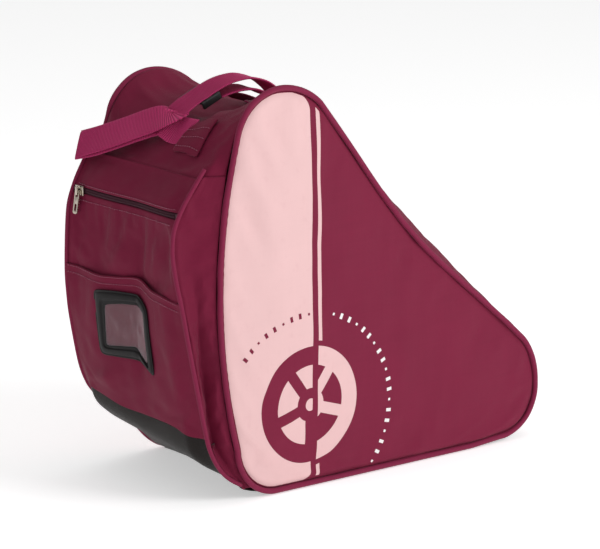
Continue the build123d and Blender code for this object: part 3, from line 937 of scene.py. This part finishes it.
def panel_grid(inset, count=84):
    """(x, z) of a grid inside the panel's outline, and each point's distance from the outline."""
    border = even_loop(offset_loop(outline, inset), 720)
    marks = [int(np.argmin(np.linalg.norm(border - c, axis=1))) for c in CORNERS]
    sides = []
    for a, b in zip(marks, marks[1:] + marks[:1]):
        span = (b - a) % len(border)
        sides.append(resample(border[(a + np.arange(span + 1)) % len(border)], count))
    heel, top, toe, base = sides
    base, toe = base[::-1], toe[::-1]
    v, u = np.meshgrid(np.linspace(0, 1, count), np.linspace(0, 1, count), indexing="ij")
    u, v = u[..., None], v[..., None]
    grid = (1 - v) * base[None] + v * top[None] + (1 - u) * heel[:, None] + u * toe[:, None]
    grid = grid - ((1 - u) * (1 - v) * base[0] + u * (1 - v) * base[-1] + (1 - u) * v * top[0] + u * v * top[-1])
    grid = even(grid, 40)
    flat = grid.reshape(-1, 1, 2)
    distance = np.min(np.linalg.norm(flat - border[None], axis=2), axis=1).reshape(count, count)
    return grid, distance


PANEL_FOLDS = [   # a, b, width, height of the soft ridges and hollows on a side panel
    ((-136, -100, 352), (-108, -100, 300), 6, 3.4), ((-120, -100, 356), (-90, -100, 306), 6, -3.0),
    ((-150, -100, 318), (-112, -100, 262), 7, 3.2), ((-158, -100, 286), (-128, -100, 246), 7, -2.6),
    ((-96, -100, 372), (-84, -100, 340), 5, 1.6), ((-74, -100, 372), (-66, -100, 344), 5, -1.4),
    ((-54, -100, 356), (-64, -100, 322), 6, 1.6), ((-30, -100, 318), (-52, -100, 296), 6, -1.3),
    ((150, -100, 126), (120, -100, 96), 8, -1.6), ((176, -100, 108), (150, -100, 86), 7, 1.8),
    ((206, -100, 76), (172, -100, 66), 7, -1.8), ((207, -100, 54), (174, -100, 50), 7, 1.7),
    ((202, -100, 34), (172, -100, 36), 6, -1.6), ((184, -100, 18), (164, -100, 34), 6, 1.4),
    ((-150, -100, 26), (-126, -100, 46), 7, -1.8), ((-166, -100, 70), (-140, -100, 76), 7, 1.5),
    ((60, -100, 222), (30, -100, 188), 9, -1.5), ((96, -100, 184), (66, -100, 152), 9, 1.5),
    ((-20, -100, 8), (-16, -100, 30), 8, -1.2), ((60, -100, 8), (66, -100, 32), 8, 1.2),
]


def side_panel(side, sign):
    """A side panel's skin, foam, lining and piping; sign is the side's direction along Y."""
    grid, inset = panel_grid(4.4)
    height = 95.2 + 3.4 * smoothstep(inset, 0, 7) + PANEL_CROWN * smoothstep(inset, 0, 75)
    points = np.stack([grid[..., 0], -height, grid[..., 1]], axis=-1)
    points = folded(points, PANEL_FOLDS)
    points = rumple(points, 46.0, 1.5, 3.0 if sign < 0 else 11.0)
    points = rumple(points, 17.0, 0.35, 5.0 if sign < 0 else 13.0)
    points[..., 1] *= -sign
    skin = grid_object(side + "_panel_skin", slump(settled(side + "_panel_skin", points, 0.012, 1.6)))
    attribute = skin.data.attributes.new("inset", "FLOAT", "POINT")
    attribute.data.foreach_set("value", inset.ravel().astype(np.float32))
    thicken(skin, CLOTH)
    placed(skin, "bag", "panel_cloth", side + "_side_panel", material=PANEL_CLOTH)

    inner, distance = panel_grid(8.5, 44)
    for label, depth, thick, finish, slot in (("panel_foam", 1.8, 4.0, FOAM, "foam"),
                                              ("panel_lining", 6.4, 0.8, LINING_CLOTH, "lining")):
        y = 95.4 + PANEL_CROWN * smoothstep(distance, 0, 75) - depth
        sheet = grid_object(side + "_" + label + "_layer",
                            slump(np.stack([inner[..., 0], sign * y, inner[..., 1]], axis=-1)))
        thicken(sheet, thick, 0)
        placed(sheet, "bag", slot, side + "_" + label, material=finish)

    line = offset_loop(outline, PIPING_R + 0.2)
    path = np.stack([line[:, 0], np.full(len(line), sign * 97.0), line[:, 1]], axis=1)
    wobble = np.array([noise.noise(Vector(p) / 26.0) for p in path])
    path[:, 1] += 0.8 * wobble
    cord = tube(side + "_piping_cord", slump(path), PIPING_R + 0.25 * wobble, closed=True, sides=16)
    placed(cord, "bag", "piping", side + "_panel_piping", material=PIPING_CLOTH)


for side, sign in (("front", -1), ("rear", 1)):
    side_panel(side, sign)


# ---------------------------------------------------------------- heel
def flat_height(value):
    return lambda y: value


def hem_height(y):
    return float(curve_value(y, HEM_Y, HEM_Z, 8))


def seam_height(y):
    return float(curve_value(y, SEAM_Y, SEAM_Z, 8))


HEEL_FOLDS = [
    ((-214, -28, 268), (-206, -14, 205), 6, -3.5), ((-216, -52, 258), (-214, -40, 204), 7, 2.2),
    ((-214, -8, 262), (-212, 12, 210), 9, 2.6), ((-214, 30, 262), (-210, 44, 206), 9, -2.4),
    ((-214, 56, 262), (-210, 62, 206), 8, 2.0), ((-216, -64, 250), (-214, -74, 205), 6, -2.2),
]


def heel_pieces():
    # The upper part of the heel face goes in behind the slip pocket's mouth.
    def set_back(y, z):
        return -3.2 * float(smoothstep(-z, -232, -196)) * (1 - float(smoothstep(abs(y), 62, 84)))

    face = heel_grid(flat_height(172.0), flat_height(271.6), 34, 64, out=set_back)
    face = folded(face, HEEL_FOLDS)
    _, face = cloth_piece("heel_face_skin", face, CLOTH, GUSSET_CLOTH, "bag", "gusset_cloth",
                          "heel_face", rough=(24.0, 1.6, 2.0), settle=(0.035, 2.6))
    seam(lifted(face, 0.3)[-3, 3:-3])
    yoke = heel_grid(flat_height(277.6), flat_height(307.5), 14, 64, out=0.3)
    _, yoke = cloth_piece("heel_yoke_skin", yoke, CLOTH, GUSSET_CLOTH, "bag", "gusset_cloth",
                          "heel_yoke", rough=(26.0, 1.2, 4.0), settle=(0.02, 1.5))
    seam(lifted(yoke, 0.3)[1, 3:-3])

    pocket = heel_grid(lambda y: seam_height(y) - 4.0, lambda y: hem_height(y) - 3.0, 52, 72, out=1.6)
    pocket = folded(pocket, [((-206, -12, 196), (-200, -16, 112), 7, -2.5),
                             ((-214, 44, 196), (-206, 56, 120), 10, 2.0),
                             ((-212, -60, 190), (-204, -70, 110), 8, 2.0),
                             ((-206, 20, 110), (-203, 60, 88), 8, 2.2)])
    pocket, skin_grid = cloth_piece("slip_pocket_skin", pocket, CLOTH, GUSSET_CLOTH, "bag", "gusset_cloth",
                                    "slip_pocket_panel", rough=(30.0, 1.8, 6.0), settle=(0.012, 0.9))
    hem = heel_grid(lambda y: hem_height(y) - 9.0, hem_height, 8, 72, out=2.5)
    _, hem = cloth_piece("slip_pocket_hem_band", hem, 1.6, GUSSET_CLOTH, "bag", "gusset_cloth",
                         "slip_pocket_hem", rough=(30.0, 0.6, 6.0))
    for row in (1, -2):
        seam(lifted(hem, 0.3)[row, 2:-2])

    # Zip: two tapes with a row of teeth between them, and a lining bag behind.
    for label, low, high in (("upper", 276.3, 283.5), ("lower", 265.5, 272.9)):
        tape = heel_grid(flat_height(low), flat_height(high), 6, 48, out=-1.4, limit=77.0)
        cloth_piece("pocket_zip_" + label + "_tape_cloth", tape, 0.7, TAPE_CLOTH, "bag", "zip_tape",
                    "pocket_zip_" + label + "_tape", levels=0)
    rows = []
    for z in (273.6, 275.6):
        ys = np.linspace(-74, 74, 60)
        rows.append(np.array([(heel_x(y, z) + 0.1, y, z) for y in ys]))
    teeth = run_tree("pocket_zip_teeth", rows, TEETH, NYLON, Pitch=TOOTH_PITCH * MM, Length=0.0026,
                     Radius=0.00055, Across=(0.0, 0.0, 1.0))
    placed(teeth, "bag", "zip_teeth", "pocket_zip_coil")
    back = heel_grid(flat_height(214.0), flat_height(290.0), 16, 30, out=-13.0, limit=74.0)
    cloth_piece("zip_pocket_inside", back, 0.7, LINING_CLOTH, "bag", "lining", "zip_pocket_lining", levels=0)

    for side, sign in (("front", -1), ("rear", 1)):
        rows, cols = 72, 28
        strip = np.zeros((rows, cols, 3))
        for i, z in enumerate(np.linspace(9, 309, rows)):
            cord_x, cord_y = cord_at(z)
            side_x = np.interp(z, SIDE_Z, SIDE_X)
            for j, t in enumerate(np.linspace(0, 1, cols)):
                strip[i, j] = (side_x * (1 - t) + cord_x * t, sign * (94.6 * (1 - t) + cord_y * t), z)
        z = strip[:, :1, 2]
        depth = 13.0 * smoothstep(-z, -262, -120) * smoothstep(z, 6, 60)
        middle = 0.52 + 0.06 * np.sin(z / 31.0)
        valley = np.exp(-np.abs((np.linspace(0, 1, cols)[None] - middle) / 0.17) ** 1.5)
        ridge = np.exp(-((np.linspace(0, 1, cols)[None] - 0.86) / 0.07) ** 2)
        strip = strip - grid_normals(strip) * (depth * valley - 1.6 * ridge)[..., None]
        cloth_piece(side + "_heel_strip", strip, CLOTH, GUSSET_CLOTH, "bag", "gusset_cloth",
                    side + "_heel_gusset", rough=(22.0, 1.3, 8.0 + sign), settle=(0.03, 2.2))
        path = resample(np.array([(x - 0.6, sign * (y + 0.5), z) for x, y, z in HEEL_CORD]), 120)
        path = softened_line(path, 12)
        cord = tube(side + "_heel_cord", path, HEEL_PIPING_R, sides=14)
        placed(cord, "bag", "piping", side + "_heel_piping", material=PIPING_CLOTH)
    return skin_grid


pocket_grid = heel_pieces()


# ---------------------------------------------------------------- top, toe and base
def top_toe_and_base():
    ys = (-93.9, -81.4, 0.0, 81.4, 93.9)
    top = ruled([outer_line("top_panel", y, kinked=True) for y in ys], ys, 64, 48)
    top = slump(even(top, 4))
    top = folded(top, [((-160, -60, 345), (-120, -30, 360), 9, 3), ((-180, 10, 322), (-140, 40, 350), 12, -4),
                       ((-120, -78, 372), (-80, -60, 378), 8, -2.5), ((-70, -70, 370), (-40, -50, 345), 8, 2.5)])
    _, top = cloth_piece("top_skin", top, CLOTH, GUSSET_CLOTH, "bag", "gusset_cloth", "top_panel",
                         rough=(30.0, 2.4, 12.0), settle=(0.035, 4.0))
    ys = (-93.9, 0.0, 93.9)
    toe = ruled([outer_line("toe_panel", y) for y in ys], ys, 48, 26)
    cloth_piece("toe_skin", even(toe, 3), CLOTH, GUSSET_CLOTH, "bag", "gusset_cloth", "toe_panel",
                rough=(26.0, 1.8, 14.0), settle=(0.03, 3.0))

    heel = np.linspace(0, 1, 16)
    floor = np.linspace(-128, 130, 26)
    rise = np.array([(146, 0.6), (162, 1.8), (176, 5.0), (188, 9.5), (197, 15.0)])
    cols = 56
    grid = np.zeros((len(heel) + len(floor) + len(rise), cols, 3))
    for j, t in enumerate(np.linspace(-1, 1, cols)):
        for i, share in enumerate(heel):
            z = seam_height(t * 88) * (1 - share) + 9.0 * share
            y = t * (cord_at(z)[1] + 0.5)
            grid[i, j] = (heel_x(y, z) - 0.5, y, z)
        for i, x in enumerate(floor):
            z = 3.0 * float(smoothstep(-x, 108, 128))
            grid[len(heel) + i, j] = (x, t * 93.0, z)
        for i, (x, z) in enumerate(rise):
            grid[len(heel) + len(floor) + i, j] = (x, t * 93.0, z)
    grid[..., 2] = np.maximum(grid[..., 2], 0.0)
    _, base = cloth_piece("base_skin", grid, CLOTH, BASE_CLOTH, "bag", "coated_base", "base_panel", levels=1)
    seam(lifted(base, 0.3)[1, 2:-2], kind="black")
    return top


top_grid = top_toe_and_base()


# ---------------------------------------------------------------- main zip and its flaps
FLAP_Y = (-93.0, -76.0, -50.0, -9.5)
BEND = 44.0                 # width from a flap's sewn edge over which it would bend; only an unused reach is worked out from it
flap_lines = []
for y in FLAP_Y:
    line = outer_line("front_flap", y) - ZIP_TOP
    s, n = line @ ALONG, line @ OUT
    order = np.argsort(s)
    flap_lines.append((s[order], n[order]))


def flap_grid(s_low, s_high, rows, cols=26):
    """A grid over the front flap, from its sewn edge to the zip."""
    grid = np.zeros((rows, cols, 3))
    for i, s in enumerate(np.linspace(s_low, s_high, rows)):
        heights = [np.interp(s, a, b) for a, b in flap_lines]
        for j, t in enumerate(np.linspace(0, 1, cols)):
            y = -94.0 + t * 85.0
            n = curve_value(y, FLAP_Y, heights, 6)
            middle = math.sin(math.pi * min(1.0, t * 1.15)) if t < 0.87 else 0.0
            n += 2.2 * middle * (1 + 0.9 * noise.noise(Vector((s / 34.0, y / 60.0, 2.5))))
            n += 1.3 * math.sin(math.pi * t) * noise.noise(Vector((s / 13.0, y / 40.0, 7.5)))
            x, z = on_slope(s, n)
            grid[i, j] = (x, y, z)
    return grid


def main_zip():
    webs = (("upper", 25.0, 38.0), ("lower", 344.0, 357.0))
    for side, sign in (("front", -1), ("rear", 1)):
        body = side + "_flap"
        mirrored = np.array((1.0, -sign, 1.0))
        grid = settled(side + "_flap_skin", flap_grid(38.0, 344.0, 92), 0.02, 2.0)
        seam(lifted(grid, 0.35)[:, -3] * mirrored, body)
        grid = grid * mirrored
        skin = thicken(grid_object(side + "_flap_skin", grid), CLOTH)
        skin.data.materials.append(GUSSET_CLOTH)
        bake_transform(skin)
        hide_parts(side + "_flap")
        for label, s_low, s_high in webs:
            web = grid_object("{}_flap_{}_web".format(side, label), flap_grid(s_low, s_high, 7) * mirrored)
            thicken(web, CLOTH)
            web.data.materials.append(GUSSET_CLOTH)
            # The point that its bend would reach is worked out here but not used; it is given no weights.
            span, turn = s_high - s_low, 1.0 if label == "upper" else -1.0
            away = np.array((turn * ALONG[0] * 84.5, -sign * span, turn * ALONG[1] * 84.5))
            reach = BEND * span / math.hypot(84.5, span)
            x, z = on_slope(s_high if label == "upper" else s_low, 0.0)
            start = np.array((x, sign * 94.0, z))
            end = start + away / np.linalg.norm(away) * reach
            tuple(end * MM)
            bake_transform(web)

        tape_rows = np.linspace(37.0, 345.0, 60)
        tape = np.zeros((60, 6, 3))
        for i, s in enumerate(tape_rows):
            for j, y in enumerate(np.linspace(-14.5, -2.6, 6)):
                x, z = on_slope(s, -3.0)
                tape[i, j] = (x, y * -sign, z)
        cloth_piece(side + "_main_tape", tape, 0.7, TAPE_CLOTH, body, "zip_tape",
                    side + "_main_zip_tape", levels=0)
        line = [(*on_slope(s, -2.6)[[0]], sign * 1.35, on_slope(s, -2.6)[1]) for s in np.linspace(39, 343, 8)]
        shift = 0.0 if sign < 0 else TOOTH_PITCH / 2
        line = np.array(line) + np.array((ALONG[0], 0, ALONG[1])) * shift
        teeth = run_tree(side + "_main_teeth", [line], TEETH, NYLON, Pitch=TOOTH_PITCH * MM, Length=0.0028,
                         Radius=0.00056, Across=(0.0, 1.0, 0.0))
        placed(teeth, body, "zip_teeth", side + "_main_zip_coil")


main_zip()


# ---------------------------------------------------------------- small hard parts
def softened(cad, body, slot, material, radius):
    """A moulded or cast part, its edges rounded."""
    source = frame["nodes"][cad].data
    bm = bmesh.new()
    bm.from_mesh(source)
    bmesh.ops.remove_doubles(bm, verts=bm.verts, dist=1e-6)
    bmesh.ops.dissolve_limit(bm, angle_limit=math.radians(4), verts=bm.verts, edges=bm.edges)
    mesh = bpy.data.meshes.new(cad + "_finished")
    bm.to_mesh(mesh)
    bm.free()
    obj = bpy.data.objects.new(cad + "_finished", mesh)
    bpy.context.scene.collection.objects.link(obj)
    edges = obj.modifiers.new("edges", "BEVEL")
    edges.width = radius * MM
    edges.segments = 3
    edges.limit_method = "ANGLE"
    edges.angle_limit = math.radians(35)
    edges.harden_normals = False
    baked(obj)
    obj.data.polygons.foreach_set("use_smooth", [True] * len(obj.data.polygons))
    obj.data.set_sharp_from_angle(angle=math.radians(40))
    return placed(obj, body, slot, cad, material=material)


softened("main_zip_slider", "main_zip_slider", "zip_metal", NICKEL, 0.35)
softened("main_zip_puller", "main_zip_puller", "zip_metal", NICKEL, 0.45)
softened("pocket_zip_slider", "pocket_zip_slider", "zip_metal", NICKEL, 0.35)
softened("pocket_zip_puller", "pocket_zip_puller", "zip_metal", NICKEL, 0.45)
softened("pocket_zip_start_stop", "bag", "zip_teeth", NYLON, 0.3)
softened("pocket_zip_end_stop", "bag", "zip_teeth", NYLON, 0.3)
softened("strap_adjuster", "strap_adjuster", "black_plastic", BLACK_NYLON, 0.6)
board = frame["nodes"]["base_board"]
board.data.materials.clear()
board.data.materials.append(BOARD)


# ---------------------------------------------------------------- carrying strap
def through(stations, steps):
    """A smooth line through stations (Catmull-Rom), each a row of numbers."""
    stations = np.array(stations, float)
    padded = np.vstack([2 * stations[0] - stations[1], stations, 2 * stations[-1] - stations[-2]])
    line = []
    for a, b, c, d in zip(padded, padded[1:], padded[2:], padded[3:]):
        for t in np.linspace(0, 1, steps, endpoint=False):
            line.append(0.5 * (2 * b + (c - a) * t + (2 * a - 5 * b + 4 * c - d) * t * t
                               + (3 * b - a - 3 * c + d) * t ** 3))
    line.append(stations[-1])
    return np.array(line)


def webbing(name, stations, width=30.0, lift=1.0):
    """Ribbed flat webbing through stations (x, y, z, across x, across y, across z)."""
    line = through(stations, 24)
    centre = line[:, :3]
    count = int(length_of(centre) / (RIB_PITCH / 4)) + 1
    line = resample(np.hstack([centre, line[:, 3:]]), count)
    centre, across = line[:, :3], line[:, 3:]
    tangent = np.gradient(centre, axis=0)
    tangent /= np.linalg.norm(tangent, axis=1, keepdims=True)
    across = across - tangent * np.sum(across * tangent, axis=1, keepdims=True)
    across /= np.linalg.norm(across, axis=1, keepdims=True)
    normal = np.cross(tangent, across)
    travelled = np.concatenate([[0], np.cumsum(np.linalg.norm(np.diff(centre, axis=0), axis=1))])
    rib = 0.42 * np.cos(travelled / RIB_PITCH * 2 * math.pi)
    half = width / 2
    u = np.array([-1, -0.97, -0.8, -0.4, 0, 0.4, 0.8, 0.97, 1.0])
    thick = np.array([0.25, 0.8, 1.0, 1.0, 1.0, 1.0, 1.0, 0.8, 0.25]) * WEBBING / 2
    cup = 0.8 * (1 - u * u) * lift
    upper = [centre + across * (half * a) + normal * ((c + t) + rib * (t > 0.4))[:, None]
             for a, t, c in zip(u, thick, cup)]
    lower = [centre + across * (half * a) + normal * ((c - t) - rib * (t > 0.4))[:, None]
             for a, t, c in zip(u[::-1], thick[::-1], cup[::-1])]
    ring = np.array(upper + lower)
    sides = len(ring)
    vertices = ring.transpose(1, 0, 2)
    place_u = np.concatenate([u, u[::-1]]) * half
    uvs = np.stack(np.meshgrid(place_u, travelled), axis=-1).reshape(-1, 2)
    faces = []
    for i in range(count - 1):
        for j in range(sides):
            k = (j + 1) % sides
            faces.append((i * sides + j, (i + 1) * sides + j, (i + 1) * sides + k, i * sides + k))
    faces.append(tuple(range(sides)))
    faces.append(tuple(reversed(range((count - 1) * sides, count * sides))))
    obj = facing_out(make_object(name, vertices.reshape(-1, 3), faces, uvs))
    obj.data.materials.append(WEBBING_CLOTH)
    return obj


FOLD_ACROSS = (-0.54, -0.45, -0.715)
HEEL_RUN = [
    (-199, 86, 313.5, *FOLD_ACROSS), (-193, 68, 320, *FOLD_ACROSS), (-183, 44, 330, *FOLD_ACROSS),
    (-174, 22, 340, -0.50, -0.55, -0.67), (-166, 6, 347, -0.30, -0.85, -0.43),
    (-157, -2, 350.6, -0.10, -0.98, -0.15), (-150, -2, 352.4, 0, -1, 0)]
TOP_RUN = [
    (-155, -2, 350.2, 0, -1, 0), (-146, -1, 355.4, 0, -1, 0), (-135, 0, 360.4, 0, -1, 0),
    (-123, 0, 365.4, 0, -1, 0), (-111, 0, 370.2, 0, -1, 0), (-101, 0, 373.4, 0, -1, 0),
    (-88, 0, 375.6, 0, -1, 0), (-72, 0, 375.6, 0, -1, 0),
    (-54, 0, 370, 0, -1, 0), (-41, 0, 361, 0, -1, 0), (-33, 0, 353, 0, -1, 0)]
UNDER_RUN = [
    (-108, 0, 362.4, 0, -1, 0), (-96, 0, 364.6, 0, -1, 0), (-82, 0, 365.6, 0, -1, 0),
    (-68, 0, 364.4, 0, -1, 0), (-56, 0, 360.0, 0, -1, 0), (-47, 0, 356.0, 0, -1, 0)]


def top_height(x, y):
    """Height of the top's cloth at a place."""
    flat = top_grid.reshape(-1, 3)
    distance = np.linalg.norm(flat[:, :2] - (x, y), axis=1)
    near = np.argsort(distance)[:6]
    weight = 1 / (distance[near] + 1.0)
    return float((flat[near, 2] * weight).sum() / weight.sum())


DOWN_SLOPE = (-0.776, 0.0, -0.63)
LOWER_RUN = [
    (-199.5, 87, 311.5, *FOLD_ACROSS), (-192, 68, 317, *FOLD_ACROSS), (-182, 44, 327, *FOLD_ACROSS),
    (-173, 22, 336.5, -0.52, -0.52, -0.68), (-164.5, 4, 343, -0.50, -0.50, -0.70),
    (-159, -12, top_height(-159, -12) + 3.0, -0.65, -0.25, -0.72),
    (-157, -30, top_height(-157, -30) + 1.8, *DOWN_SLOPE)]

heel_webbing = webbing("strap_heel_webbing", HEEL_RUN)
placed(heel_webbing, "strap", "webbing", "strap_heel_run")
lower_webbing = webbing("strap_lower_webbing", LOWER_RUN, lift=-0.5)
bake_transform(lower_webbing)
top_webbing = webbing("strap_top_webbing", TOP_RUN)
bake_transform(top_webbing)
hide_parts("strap_adjuster_run")
under_webbing = webbing("strap_under_webbing", UNDER_RUN)
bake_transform(under_webbing)
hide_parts("strap_return_run")


def tab(name, cad, x_low, x_high, y_low, y_high, out, finish, rows=16, cols=16):
    """A patch of webbing sewn flat on the top."""
    grid = np.zeros((rows, cols, 3))
    for i, x in enumerate(np.linspace(x_low, x_high, rows)):
        for j, y in enumerate(np.linspace(y_low, y_high, cols)):
            grid[i, j] = (x, y, top_height(x, y) + out)
    _, grid = cloth_piece(name, even(grid, 6), 1.4, finish, "bag", "webbing", cad)
    for row in (2, 6, 10):
        seam(lifted(grid, 0.4)[row, 1:-1])


tab("slope_strap_patch", "slope_strap_tab", -60, -38, -14, 14, 2.4, WEBBING_CLOTH)
tab("heel_strap_patch", "heel_strap_tab", -175, -149, -60, -25, 4.2, GUSSET_CLOTH)


# ---------------------------------------------------------------- name window
WINDOW_OUTER = ((44, 185.5), (14, 189), (-16, 190), (-24, 185), (-32, 180), (-35, 148), (-38, 114),
                (-26, 120), (-12, 126), (15, 124), (42, 122), (43, 154))
WINDOW_INNER = ((28, 173), (6, 177), (-14, 179), (-19, 176.5), (-23, 173), (-24, 150), (-26.5, 124),
                (-18, 131), (-9.5, 139), (10, 136), (31, 133), (29.5, 153))


def rounded_loop(corners, count, rounds):
    """A closed loop of (y, z) through corners, slightly rounded."""
    loop = even_loop(np.array(corners, float), count)
    for _ in range(rounds):
        loop = 0.25 * np.roll(loop, 1, axis=0) + 0.5 * loop + 0.25 * np.roll(loop, -1, axis=0)
    return loop


def on_pocket(y, z, out):
    """A point standing out from the slip pocket's cloth."""
    return (heel_x(y, z) - 1.8 - out, y, z)


def close_middle(obj):
    """Joins the seam of a round grid and fills the small hole in its middle."""
    bm = bmesh.new()
    bm.from_mesh(obj.data)
    bmesh.ops.remove_doubles(bm, verts=bm.verts, dist=1e-5)
    ring = [e for e in bm.edges if e.is_boundary]
    inner_ring = sorted(ring, key=lambda e: e.calc_length())[:len(ring) // 2]
    bmesh.ops.contextual_create(bm, geom=inner_ring)
    bmesh.ops.recalc_face_normals(bm, faces=bm.faces)
    if sum(f.normal.x * f.calc_area() for f in bm.faces) > 0:
        bmesh.ops.reverse_faces(bm, faces=bm.faces)
    bm.to_mesh(obj.data)
    bm.free()


def name_window():
    count = 160
    outer = rounded_loop(WINDOW_OUTER, count, 14)
    inner = rounded_loop(WINDOW_INNER, count, 8)
    shares = (0.0, 0.0, 0.06, 0.13, 0.17, 0.22, 0.60, 0.66, 0.70, 0.76, 0.90, 0.97, 1.0, 1.0)
    heights = (0.2, 1.6, 1.9, 1.5, 1.5, 2.7, 3.0, 2.6, 1.6, 1.5, 1.6, 1.4, 1.0, 0.3)
    rings = []
    for share, height in zip(shares, heights):
        loop = outer * (1 - share) + inner * share
        crease = 0.9 * np.exp(-((loop[:, 0] + 13.0) / 3.0) ** 2)
        rings.append([on_pocket(y, z, height - c + 0.6) for (y, z), c in zip(loop, crease)])
    rings = np.array(rings)
    rows = len(rings)
    faces = []
    for i in range(rows):
        for j in range(count):
            a, b = (i + 1) % rows, (j + 1) % count
            faces.append((i * count + j, i * count + b, a * count + b, a * count + j))
    along = np.linspace(0, 260, count)
    uvs = np.stack(np.meshgrid(along, np.linspace(0, 14, rows)), axis=-1).reshape(-1, 2)
    rim = facing_out(make_object("window_rim", rings.reshape(-1, 3), faces, uvs))
    smoother = rim.modifiers.new("smooth", "SUBSURF")
    smoother.levels = smoother.render_levels = 1
    baked(rim)
    placed(rim, "bag", "black_vinyl", "id_window_rim", material=VINYL)

    centre = inner.mean(axis=0)
    shares = np.linspace(1.04, 0.04, 22)
    film = np.zeros((len(shares), count + 1, 3))
    for i, share in enumerate(shares):
        loop = centre + (inner - centre) * share
        for j in range(count + 1):
            y, z = loop[j % count]
            wave = noise.noise(Vector((y / 13.0, z / 19.0, 4.0))) + 0.4 * noise.noise(Vector((y / 5.0, z / 8.0, 1.0)))
            film[i, j] = on_pocket(y, z, 1.9 + 1.2 * wave * (1 - share ** 4))
    sheet = grid_object("window_film", film)
    close_middle(sheet)
    thicken(sheet, 0.35, 0)
    placed(sheet, "bag", "clear_vinyl", "id_window_film", material=FILM)


name_window()


# ---------------------------------------------------------------- stitching
for (body, kind), lines in seams.items():
    material = THREAD if kind == "thread" else BLACK_THREAD
    stitches = run_tree("{}_{}_stitches".format(body, kind), lines, STITCHES, material,
                        Pitch=STITCH_PITCH * MM, Length=STITCH_LENGTH * MM, Radius=STITCH_R * MM)
    placed(stitches, body, "piping")


# ---------------------------------------------------------------- floor, light and camera
def stage_and_light():
    floor = make_object("floor", [(-9000, -9000, -0.6), (9000, -9000, -0.6), (9000, 9000, -0.6),
                                  (-9000, 9000, -0.6)], [(0, 1, 2, 3)])
    material, tree, shader = new_material("pale floor")
    set_shader(shader, Base_Color=(0.95, 0.95, 0.95, 1), Roughness=0.9, Emission_Strength=0.46,
               Emission_Color=(1, 1, 1, 1))
    floor.data.materials.append(material)

    world = bpy.data.worlds.new("studio")
    world.use_nodes = True
    world.node_tree.nodes["Background"].inputs["Color"].default_value = (1, 1, 1, 1)
    world.node_tree.nodes["Background"].inputs["Strength"].default_value = 0.40
    bpy.context.scene.world = world
    target = Vector((0.0, 0.0, 0.18))
    for name, place, size, watts in (("key", (0.9, -1.9, 1.3), 1.1, 27.0), ("fill", (-2.0, -0.6, 1.2), 1.4, 2.0),
                                     ("top", (0.2, 0.3, 2.4), 1.6, 9.0)):
        light = bpy.data.lights.new(name, "AREA")
        light.size = size
        light.energy = watts
        lamp = bpy.data.objects.new(name, light)
        bpy.context.scene.collection.objects.link(lamp)
        lamp.location = place
        lamp.rotation_euler = (target - Vector(place)).to_track_quat("-Z", "Y").to_euler()

    azimuth, elevation, distance = math.radians(39.207), math.radians(13.692), 4.3116
    target = Vector((-0.0037, 0.0, 0.1745))
    data = bpy.data.cameras.new("camera")
    data.lens = 271.95
    data.clip_end = 50
    camera = bpy.data.objects.new("camera", data)
    bpy.context.scene.collection.objects.link(camera)
    away = Vector((-math.sin(azimuth) * math.cos(elevation), -math.cos(azimuth) * math.cos(elevation),
                   math.sin(elevation)))
    camera.location = target + away * distance
    camera.rotation_euler = (-away).to_track_quat("-Z", "Y").to_euler()
    bpy.context.scene.camera = camera
    bpy.context.scene.view_settings.view_transform = "Standard"


stage_and_light()
